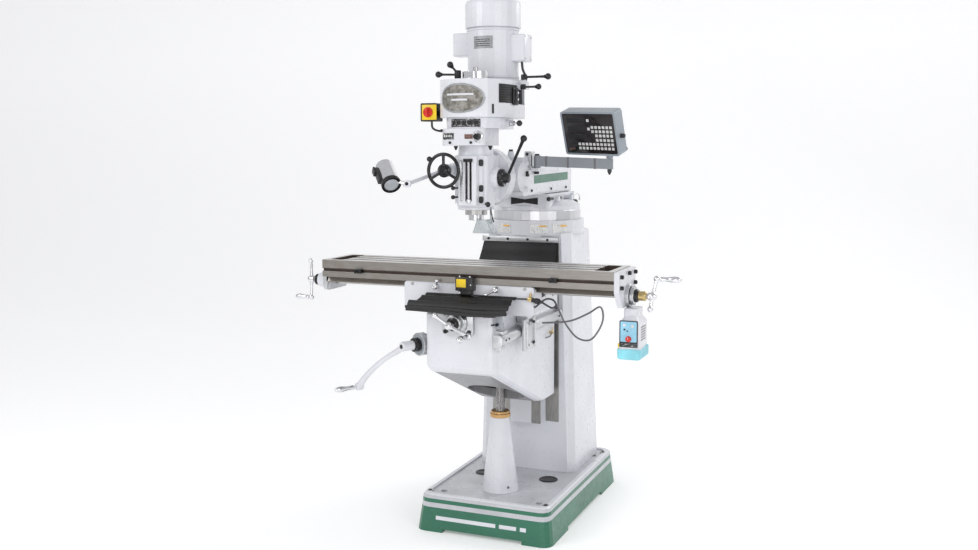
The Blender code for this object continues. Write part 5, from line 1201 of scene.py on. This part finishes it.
# ---------------------------------------------------------------- readout
def readout_details():
    """Face, keys and clamp of the display, and its arm's straps."""
    corner, size = Vector((0.2247, 0.180, 1.5466)), Vector((0.258, 0.058, 0.183))
    place = (Matrix.Translation(corner) @ Matrix.Rotation(math.radians(-15.9), 4, "Z")
             @ Matrix.Rotation(math.radians(1.8), 4, "Y") @ Matrix.Rotation(math.radians(19.1), 4, "X"))
    edge, sink = 0.008, 0.0025

    def panel(name, finish, *spots):
        """Boxes on the sunk face: (u0, v0, u1, v1, back, front), shares from the top left."""
        wide, tall = size.x - 2 * edge, size.z - 2 * edge
        shapes = []
        for u0, v0, u1, v1, back, front in spots:
            low = Vector((edge + wide * u0, sink - front, edge + tall * (1 - v1)))
            high = Vector((edge + wide * u1, sink + back, edge + tall * (1 - v0)))
            shape = block(low, high, min(0.0012, (high - low).x / 4, (high - low).z / 4, (front + back) / 3))
            bmesh.ops.transform(shape, matrix=place, verts=shape.verts)
            shapes.append(shape)
        piece(name, "dro_display", finish, *shapes)

    panel("readout_face", "readout", (0.0, 0.0, 1.0, 1.0, 0.0005, 0.0006))
    panel("readout_lamp", "maroon", (0.055, 0.875, 0.165, 0.925, 0.0003, 0.0010))
    panel("readout_windows", "dark",
          *[(0.080, v - 0.062, 0.430, v + 0.062, 0.0005, 0.0013) for v in (0.17, 0.38, 0.58)])
    half_u, half_v = 0.0235, 0.034
    keys = [(0.495, 0.17), (0.492, 0.38)]
    for rows, count, first, last in (((0.339, 0.444), 6, 0.565, 0.925), ((0.549, 0.661), 5, 0.631, 0.923),
                                     ((0.766, 0.870), 10, 0.273, 0.920)):
        for v in rows:
            keys += [(first + (last - first) * i / (count - 1), v) for i in range(count)]
    spots = [(u - half_u, v - half_v, u + half_u, v + half_v, 0.0003, 0.0028) for u, v in keys]
    panel("readout_keys", "button", *spots)
    knob = place @ Vector((size.x + 0.0002, size.y * 0.5, size.z * 0.42))
    out = (place.to_3x3() @ RIGHT).normalized()
    piece("readout_side_knob", "dro_display", "black",
          turned(knob, out, [(0.0, 0.009), (0.014, 0.009), (0.017, 0.007)], 28))
    pin = Vector((0.418, 0.152, 0.0))
    piece("readout_clamp_pin", "dro_display", "black",
          turned((pin.x, pin.y, 1.4868), DOWN,
                 [(0.0, 0.009), (0.010, 0.009), (0.022, 0.003), (0.0225, 0.0015)], 28))
    arm = Vector((0.128, 0.092, 0.0))
    piece("arm_clamp_bolts", "dro_arm", "blued", bolt((arm.x, arm.y, 1.5405), UP, 0.0095, 0.009, 24))
    piece("arm_clamp", "ram", "cast", block((0.0805, 0.066, 1.4925), (0.1090, 0.118, 1.5600), 0.003),
          block((0.1050, 0.072, 1.4925), (0.1130, 0.112, 1.4990), 0.0015))
    cap_screws("arm_clamp_screws", "ram", "blued", [(0.094, 0.066, 1.548), (0.094, 0.066, 1.506)], FRONT,
               0.0062, 0.007)
    cap_screws("arm_pivot_screw", "ram", "blued", [(0.126, 0.092, 1.4775)], DOWN, 0.0100, 0.011)
    reach = pin - arm
    along = reach.normalized()
    side = Vector((-along.y, along.x, 0))
    straps = []
    for share in (0.13, 0.43, 0.80):
        spot = arm + reach * share
        top = 1.541 - 0.0127 * share
        corners = [spot + side * 0.0126 * s + along * 0.004 * t
                   for s, t in ((-1, -1), (1, -1), (1, 1), (-1, 1))]
        straps.append(soften(skin([[Vector((p.x, p.y, z)) for p in corners]
                                   for z in (top - 0.0430, top + 0.0008)]), 0.0005))
    piece("arm_straps", "dro_arm", "grey_cable", *straps)
    cable = [place @ Vector((size.x - 0.030, size.y, 0.040)),
             place @ Vector((size.x - 0.020, size.y + 0.030, 0.000)),
             place @ Vector((size.x - 0.075, size.y + 0.030, -0.014)),
             place @ Vector((size.x * 0.5, size.y + 0.012, 0.020))]
    piece("readout_cable", "dro_display", "cable", pipe(cable, 0.0038))


# ---------------------------------------------------------------- head
def head_details():
    """Badge, plates, belt window, quill clamps and depth stop on the head."""
    lobe = (0, SPINDLE_Y)
    first, last, level, tall = -136.6, -51.4, 1.7578, 0.055

    def curve(grow, sign):
        """Lower (-1) or upper (1) edge of the oval."""
        return lambda share: level + sign * (tall + grow) * math.sqrt(max(0.0, 1 - (2 * share - 1) ** 2))

    for name, finish, grow, thick, radius in (("head_badge_rim", "silver_plate", 0.0, 0.0012, 0.1356),
                                              ("head_badge", "oval", -0.0065, 0.0010, 0.1364)):
        shrink = 4.0 if grow else 0.0
        piece(name, "head", finish,
              wrapped(lobe, radius, (first + shrink, last - shrink), curve(grow, -1), curve(grow, 1), thick))
    piece("head_badge_bars", "head", "white",
          *[wrapped(lobe, 0.1370, (a, b), z - 0.0035, z + 0.0035, 0.0008, 20)
            for a, b, z in ((-118, -70, 1.772), (-108, -80, 1.752))])
    # painted shade: a thin dark sheet stands for the shade inside the slot
    piece("head_slot", "head", "dark",
          wrapped(lobe, 0.1357, (-40.2, -36.8), 1.701, 1.736, 0.0007, 4))
    piece("gear_plate", "head", "plate",
          wrapped(lobe, 0.1118, (-121.6, -57.7), 1.652, 1.682, 0.0009, 24))
    piece("gear_plate_bars", "head", "dark",
          *[wrapped(lobe, 0.1125, (-118 + 12 * i, -109.5 + 12 * i), 1.660, 1.675,
                    0.0006, 6) for i in range(5)])
    piece("spindle_ring", "head", "chrome",
          turned((0, SPINDLE_Y, 1.8302), UP,
                 [(0.0, 0.0515), (0.004, 0.0515), (0.006, 0.0500), (0.0318, 0.0500), (0.0318, 0.036)], 64))
    wall, low_z, high_z = 0.1360, 1.742, 1.812
    piece("belt_window_shade", "head", "dark",
          wrapped(lobe, wall - 0.0002, (-27.0, 0.0), low_z, high_z, 0.0008, 14),
          block((wall - 0.0002, SPINDLE_Y, low_z), (wall + 0.0006, -0.160, high_z), 0))
    piece("belt_window_ribs", "head", "rubber",
          *[wrapped(lobe, wall + 0.0004, (-25.5, 0.0), z, z + 0.0042, 0.0016, 14)
            for z in (1.747, 1.756, 1.765, 1.774, 1.783, 1.792, 1.801)])
    piece("belt_guard_bracket", "head", "blued",
          block((wall + 0.0004, -0.212, 1.736), (wall + 0.0070, -0.160, 1.802), 0.0025),
          block((wall + 0.0060, -0.195, 1.745), (wall + 0.0125, -0.172, 1.795), 0.0025))
    piece("belt_guard_bolts", "head", "chrome", bolt((wall + 0.0122, -0.184, 1.782), RIGHT, 0.0050, 0.004),
          bolt((wall + 0.0122, -0.184, 1.757), RIGHT, 0.0050, 0.004))
    front = FEEDBOX_LOW.y - 0.0004
    piece("feed_plate", "head", "plate",
          block((-0.089, front - 0.0009, 1.606), (-0.044, front + 0.001, 1.630), 0.0004))
    piece("feed_plate_red", "head", "maroon",
          block((0.0, front - 0.0009, 1.608), (0.036, front + 0.001, 1.625), 0.0004))
    piece("feed_plate_marks", "head", "button",
          *[block((-0.084 + 0.009 * i, front - 0.0013, 1.615), (-0.079 + 0.009 * i, front, 1.622), 0.0002)
            for i in range(4)])
    cap_screws("feedbox_screws", "head", "blued",
               [(-0.060, front, 1.594), (0.026, front, 1.594), (-0.094, front, 1.640)], FRONT, 0.0050,
               0.004)
    out = outward(math.radians(-52))
    seats, screws = [], []
    for z in (1.518, 1.421, 1.378):
        spot = Vector((0, SPINDLE_Y, z)) + out * 0.0720
        seats.append(turned(spot, out, [(0.0, 0.0130), (0.0035, 0.0130), (0.0045, 0.0120)], 32))
        screws.append(bolt(spot + out * 0.0044, out, 0.0078, 0.0065, 6))
    piece("quill_clamp_seats", "head", "blued", *seats)
    piece("quill_clamp_bolts", "head", "blued", *screws)
    piece("gearbox_cones", "head", "blued",
          *[turned((x, y, 1.582), DOWN, [(0.0, 0.0085), (0.002, 0.0085), (0.016, 0.0030)], 24)
            for x, y in ((-0.046, -0.330), (0.087, -0.310))])
    piece("quill_flange", "head", "white",
          sleeve((0, SPINDLE_Y, 1.3385), UP,
                 [(0.0, 0.0690), (0.002, 0.0705), (0.010, 0.0705), (0.012, 0.0690), (0.012, 0.0600),
                  (0.0, 0.0600)], 64))
    lever("quill_lock", "head", (0.058, -0.292, 1.364), (0.094, -0.352, 1.364), 0.0038, 0.0100)
    for i, z in enumerate((1.422, 1.387)):
        lever("feed_trip_" + str(i + 1), "head", (-0.045, -0.292, z), (-0.063, -0.322, z), 0.0032, 0.0085)
    piece("stop_block", "head", "blued", block((-0.010, -0.345, 1.5215), (0.026, -0.3375, 1.5335), 0.0015))
    piece("stop_nut", "head", "chrome",
          turned((0.008, -0.3345, 1.366), UP,
                 [(0.0, 0.0095), (0.001, 0.0105), (0.013, 0.0105), (0.014, 0.0095)], 32))
    piece("stop_screw", "head", "steel",
          threaded((0.008, -0.3345), 1.370, 1.534, 0.0047, 0.0007, 0.0021, 20, 6))
    piece("slot_shadow", "head", "dark", block((-0.0057, -0.3272, 1.3725), (0.0217, -0.3262, 1.5295), 0))
    piece("depth_scale", "head", "dial", block((-0.026, -0.3392, 1.372), (-0.012, -0.3375, 1.530), 0.0004))
    piece("depth_scale_marks", "head", "black",
          *[block((-0.026, -0.3394, 1.376 + 0.006 * i),
                  (-0.026 + (0.010 if i % 5 == 0 else 0.006), -0.3385, 1.3768 + 0.006 * i), 0)
            for i in range(26)])
    piece("guard_hanger", "head", "black",
          pipe([(0.060, -0.262, 1.345), (0.068, -0.262, 1.335), (0.074, -0.262, 1.310),
                (0.080, -0.262, 1.291)], 0.003))
    piece("quill_collar", "head", "white",
          sleeve((0, SPINDLE_Y, 1.3385), UP,
                 [(0.0, 0.0600), (0.014, 0.0600), (0.014, 0.0445), (0.0, 0.0445)], 64))


def spindle_details():
    """Spindle's nose and its key."""
    piece("spindle_nose", "spindle", "chrome",
          turned((0, SPINDLE_Y, 1.2968), UP,
                 [(0.0, 0.0210), (0.0, 0.0285), (0.0015, 0.0302), (0.0205, 0.0302), (0.0212, 0.0295)], 64))
    piece("spindle_key", "spindle", "blued",
          block((-0.004, SPINDLE_Y - 0.0215, 1.2964), (0.004, SPINDLE_Y - 0.0175, 1.300), 0.0005))


def head_controls():
    """Handwheel, quill lever, the housing's levers, feed-rate dial and switch."""
    centre = Vector((-0.080, -0.370, 1.489))
    rim_radius = 0.062
    rim = hoop(centre, FRONT, rim_radius, 0.0066)
    base = centre + Vector((0, 0.050, 0))
    parts = [rim,
             turned(centre + Vector((0, 0.012, 0)), FRONT, [(0.0, 0.026), (0.010, 0.026), (0.014, 0.022)],
                    40),
             turned(base, FRONT,
                    [(0.0, 0.0078), (0.0395, 0.0078), (0.0395, 0.0165), (0.042, 0.0185), (0.058, 0.0175),
                     (0.064, 0.012)], 40)]
    for degrees in (90, 210, 330):
        turn = math.radians(degrees)
        out = Vector((math.cos(turn), 0, math.sin(turn)))
        parts.append(turned(centre, out, [(0.0, 0.0078), (0.030, 0.0056), (0.060, 0.0058)], 20))
    turn = math.radians(135)
    grip = centre + Vector((math.cos(turn), 0, math.sin(turn))) * rim_radius
    parts += [rod(grip, grip + FRONT * 0.026, 0.0038), ball(grip + FRONT * 0.030, 0.0105)]
    piece("feed_handwheel", "handwheel", "gloss", *parts, stands_for="handwheel")
    stations = [(0.0, 0.0115), (0.0305, 0.0115), (0.0305, 0.032), (0.033, 0.034), (0.043, 0.034),
                (0.048, 0.030), (0.048, 0.0205), (0.050, 0.0195), (0.066, 0.018), (0.068, 0.015)]
    shaft_y, shaft_z = -0.235, 1.460
    lever("quill_handle", "quill_lever", (0.124, shaft_y, shaft_z), (0.150, -0.122, 1.610), 0.0058, 0.0135,
          [((0.066, shaft_y, shaft_z), RIGHT, stations, 48)], stands_for="quill_lever")
    pins = []
    for angle in (0.4, 1.4, 2.5, 3.5, 4.6, 5.6):
        out = Vector((0, math.cos(angle), math.sin(angle))) * 0.026
        start, end = (Vector((x, shaft_y, shaft_z)) + out for x in (0.1135, 0.1150))
        pins.append(rod(start, end, 0.0028, 16))
    piece("quill_handle_pins", "quill_lever", "chrome", *pins)
    cover_top = 1.8363
    brake_hub = ((-0.072, -0.250, cover_top), UP,
                 [(0.0, 0.011), (0.006, 0.013), (0.030, 0.013), (0.033, 0.011)], 32)
    lever("brake_left", "brake_lever", (-0.072, -0.250, 1.853), (-0.154, -0.250, 1.856), 0.0042, 0.0125,
          [brake_hub], stands_for="brake_lever")
    lever("brake_right", "brake_lever", (-0.072, -0.250, 1.858), (-0.094, -0.272, 1.890), 0.0042, 0.0125)
    lever("speed_change", "speed_lever", (0.143, -0.100, 1.847), (0.2415, -0.100, 1.847), 0.0045, 0.0125,
          [((0.143, -0.100, cover_top), UP, [(0.0, 0.0125), (0.017, 0.0125), (0.021, 0.0105)], 32)],
          stands_for="speed_lever")
    lever("belt_tension", "belt_tension_lever", (0.1585, -0.150, 1.806), (0.221, -0.150, 1.806), 0.0040,
          0.0115, [((0.1585, -0.150, 1.7965), UP, [(0.0, 0.010), (0.017, 0.010), (0.0195, 0.0085)], 32)],
          stands_for="belt_tension_lever")
    lever("gear_change", "back_gear_lever", (0.130, -0.196, 1.668), (0.181, -0.250, 1.666), 0.0038, 0.0115,
          [((0.106, -0.190, 1.668), RIGHT,
            [(0.0, 0.0055), (0.018, 0.0055), (0.018, 0.011), (0.030, 0.010)], 32)],
          "chrome", stands_for="back_gear_lever")
    at = (0.056, -0.336, 1.616)
    piece("feed_rate_dial", "feed_rate_knob", "chrome",
          turned(at, FRONT,
                 [(0.0, 0.0065), (0.0165, 0.0065), (0.0165, 0.019), (0.018, 0.021), (0.023, 0.021),
                  (0.026, 0.0175)], 48), stands_for="feed_rate_knob")
    piece("feed_rate_grip", "feed_rate_knob", "gloss",
          turned((0.056, -0.3619, 1.616), FRONT,
                 [(0.0, 0.0135), (0.004, 0.012), (0.016, 0.0105), (0.0195, 0.008)], 32))
    low, high = layout("switch_box")
    piece("switch_plate", "head", "yellow",
          block((low.x + 0.006, low.y - 0.0012, low.z + 0.006),
                (high.x - 0.006, low.y + 0.001, high.z - 0.006), 0.0006))
    dial_at = (-0.179, low.y - 0.0003, 1.711)
    piece("switch_drum", "switch_knob", "red",
          turned(dial_at, FRONT, [(0.0, 0.0195), (0.006, 0.0195), (0.008, 0.0180), (0.0082, 0.0080)], 48),
          block((-0.184, low.y - 0.0215, 1.694), (-0.174, low.y - 0.0070, 1.728), 0.003),
          stands_for="switch_knob")
    piece("switch_bracket", "head", "black",
          block((high.x - 0.002, low.y + 0.020, 1.700), (high.x + 0.016, high.y - 0.012, 1.722), 0.0015))
    piece("switch_lead", "head", "cable",
          pipe([(-0.179, -0.262, 1.677), (-0.179, -0.250, 1.650), (-0.165, -0.200, 1.640),
                (-0.130, -0.150, 1.650), (-0.112, -0.100, 1.665)], 0.0042))


def motor_details():
    """Bands, plate, fins, fan grille and junction lids of the motor."""
    for name, z in (("motor_band_low", 1.846), ("motor_band_high", 2.028)):
        piece(name, "head", "white",
              turned((0, MOTOR_Y, z), UP,
                     [(0.0, 0.1015), (0.001, 0.1042), (0.007, 0.1042), (0.008, 0.1015)], 96))
    piece("motor_plate", "head", "silver_plate",
          wrapped((0, MOTOR_Y), 0.1008, (-115, -69), 1.957, 2.004, 0.0008, 20))
    piece("motor_plate_bars", "head", "dark",
          *[wrapped((0, MOTOR_Y), 0.1014, (-110, -75), z, z + 0.0022, 0.0005, 16)
            for z in (1.966, 1.974, 1.982, 1.990)])
    fins = []
    for i in range(28):
        turn = 2 * math.pi * i / 28
        if math.sin(turn) < -0.35 or abs(math.cos(turn)) > 0.72:
            continue
        out = outward(turn)
        across = Vector((-out.y, out.x, 0)) * 0.0014
        start = Vector((0, MOTOR_Y, 0)) + out * 0.100
        end = Vector((0, MOTOR_Y, 0)) + out * 0.1075
        fins.append(skin([[Vector((p.x, p.y, z))
                           for p in (start - across, end - across, end + across, start + across)]
                          for z in (1.858, 2.022)]))
    piece("motor_fins", "head", "white", *fins)
    top = layout("fan_cover")[1].z
    # painted shade: dark discs on the fan cover's top stand for the shade in the grille holes
    slots = []
    for radius, count in ((0.030, 10), (0.052, 16), (0.074, 22)):
        for i in range(count):
            turn = 2 * math.pi * i / count
            spot = Vector((math.cos(turn) * radius, MOTOR_Y + math.sin(turn) * radius, top - 0.0005))
            slots.append(turned(spot, UP, [(0.0, 0.0042), (0.0008, 0.0042)], 12))
    piece("fan_grille", "head", "dark", *slots)
    lids = [block((-0.1592, MOTOR_Y - 0.032, 1.938), (-0.1575, MOTOR_Y + 0.032, 2.024), 0.001),
            block((0.1455, MOTOR_Y - 0.040, 1.910), (0.1475, MOTOR_Y + 0.040, 2.010), 0.001)]
    piece("junction_lids", "head", "white", *lids)
    cap_screws("junction_screws_right", "head", "steel",
               [(0.1475, MOTOR_Y + s * 0.033, z) for s in (-1, 1) for z in (1.918, 2.002)], RIGHT, 0.0032,
               0.002)
    cap_screws("junction_screws_left", "head", "steel",
               [(-0.1592, MOTOR_Y + s * 0.026, z) for s in (-1, 1) for z in (1.945, 2.017)], LEFT, 0.0032,
               0.002)
    piece("motor_lead", "head", "cable",
          pipe([(0.118, MOTOR_Y + 0.010, 1.909), (0.118, MOTOR_Y + 0.020, 1.880),
                (0.121, MOTOR_Y + 0.050, 1.850), (0.105, MOTOR_Y + 0.080, 1.835)], 0.005))


def lamp_details():
    """Bezel, lens, driver and pivot of the work lamp."""
    axis = Vector((0.5615, -0.573, -0.598)).normalized()
    lens, joint = Vector((-0.263, -0.445, 1.4375)), Vector((-0.205, -0.430, 1.441))
    piece("lamp_bezel", "lamp_head", "gloss",
          sleeve(lens - axis * 0.010, axis,
                 [(0.0, 0.0362), (0.001, 0.0385), (0.013, 0.0385), (0.015, 0.0370), (0.015, 0.0285),
                  (0.009, 0.0275), (0.0, 0.0275)], 56))
    piece("lamp_lens", "lamp_head", "lens",
          turned(lens + axis * 0.0004, axis, [(0.0, 0.0278), (0.001, 0.0278), (0.002, 0.0200)], 48))
    side = axis.cross(UP).normalized() * -1
    if side.x > 0:
        side = -side
    lift = side.cross(axis).normalized()
    start = lens - axis * 0.095

    def box(near, far, low, high, half):
        rows = [[start + axis * along + side * out + lift * up
                 for out, up in ((low, -half), (high, -half), (high, half), (low, half))]
                for along in (near, far)]
        return soften(skin(rows), 0.002)

    piece("lamp_driver", "lamp_head", "black", box(0.006, 0.074, 0.033, 0.045, 0.015),
          box(0.000, 0.030, 0.044, 0.053, 0.013))
    piece("lamp_pivot_cap", "lamp_arm", "white",
          turned(joint + Vector((0.007, -0.008, 0)), FRONT,
                 [(0.0, 0.0150), (0.004, 0.0150), (0.006, 0.0130)], 32))
    piece("lamp_pivot_screw", "lamp_arm", "gloss",
          turned(joint + Vector((0.007, -0.0138, 0)), FRONT, [(0.0, 0.0068), (0.003, 0.0062)], 24))


dress_cad()
base_details()
column_details()
screw_and_nut()
rear_cover()
front_cover()
knee_details()
scale_details()
saddle_details()
table_details()
power_feed_details()
turret_details()
readout_details()
head_details()
spindle_details()
head_controls()
motor_details()
lamp_details()
studio()
camera()
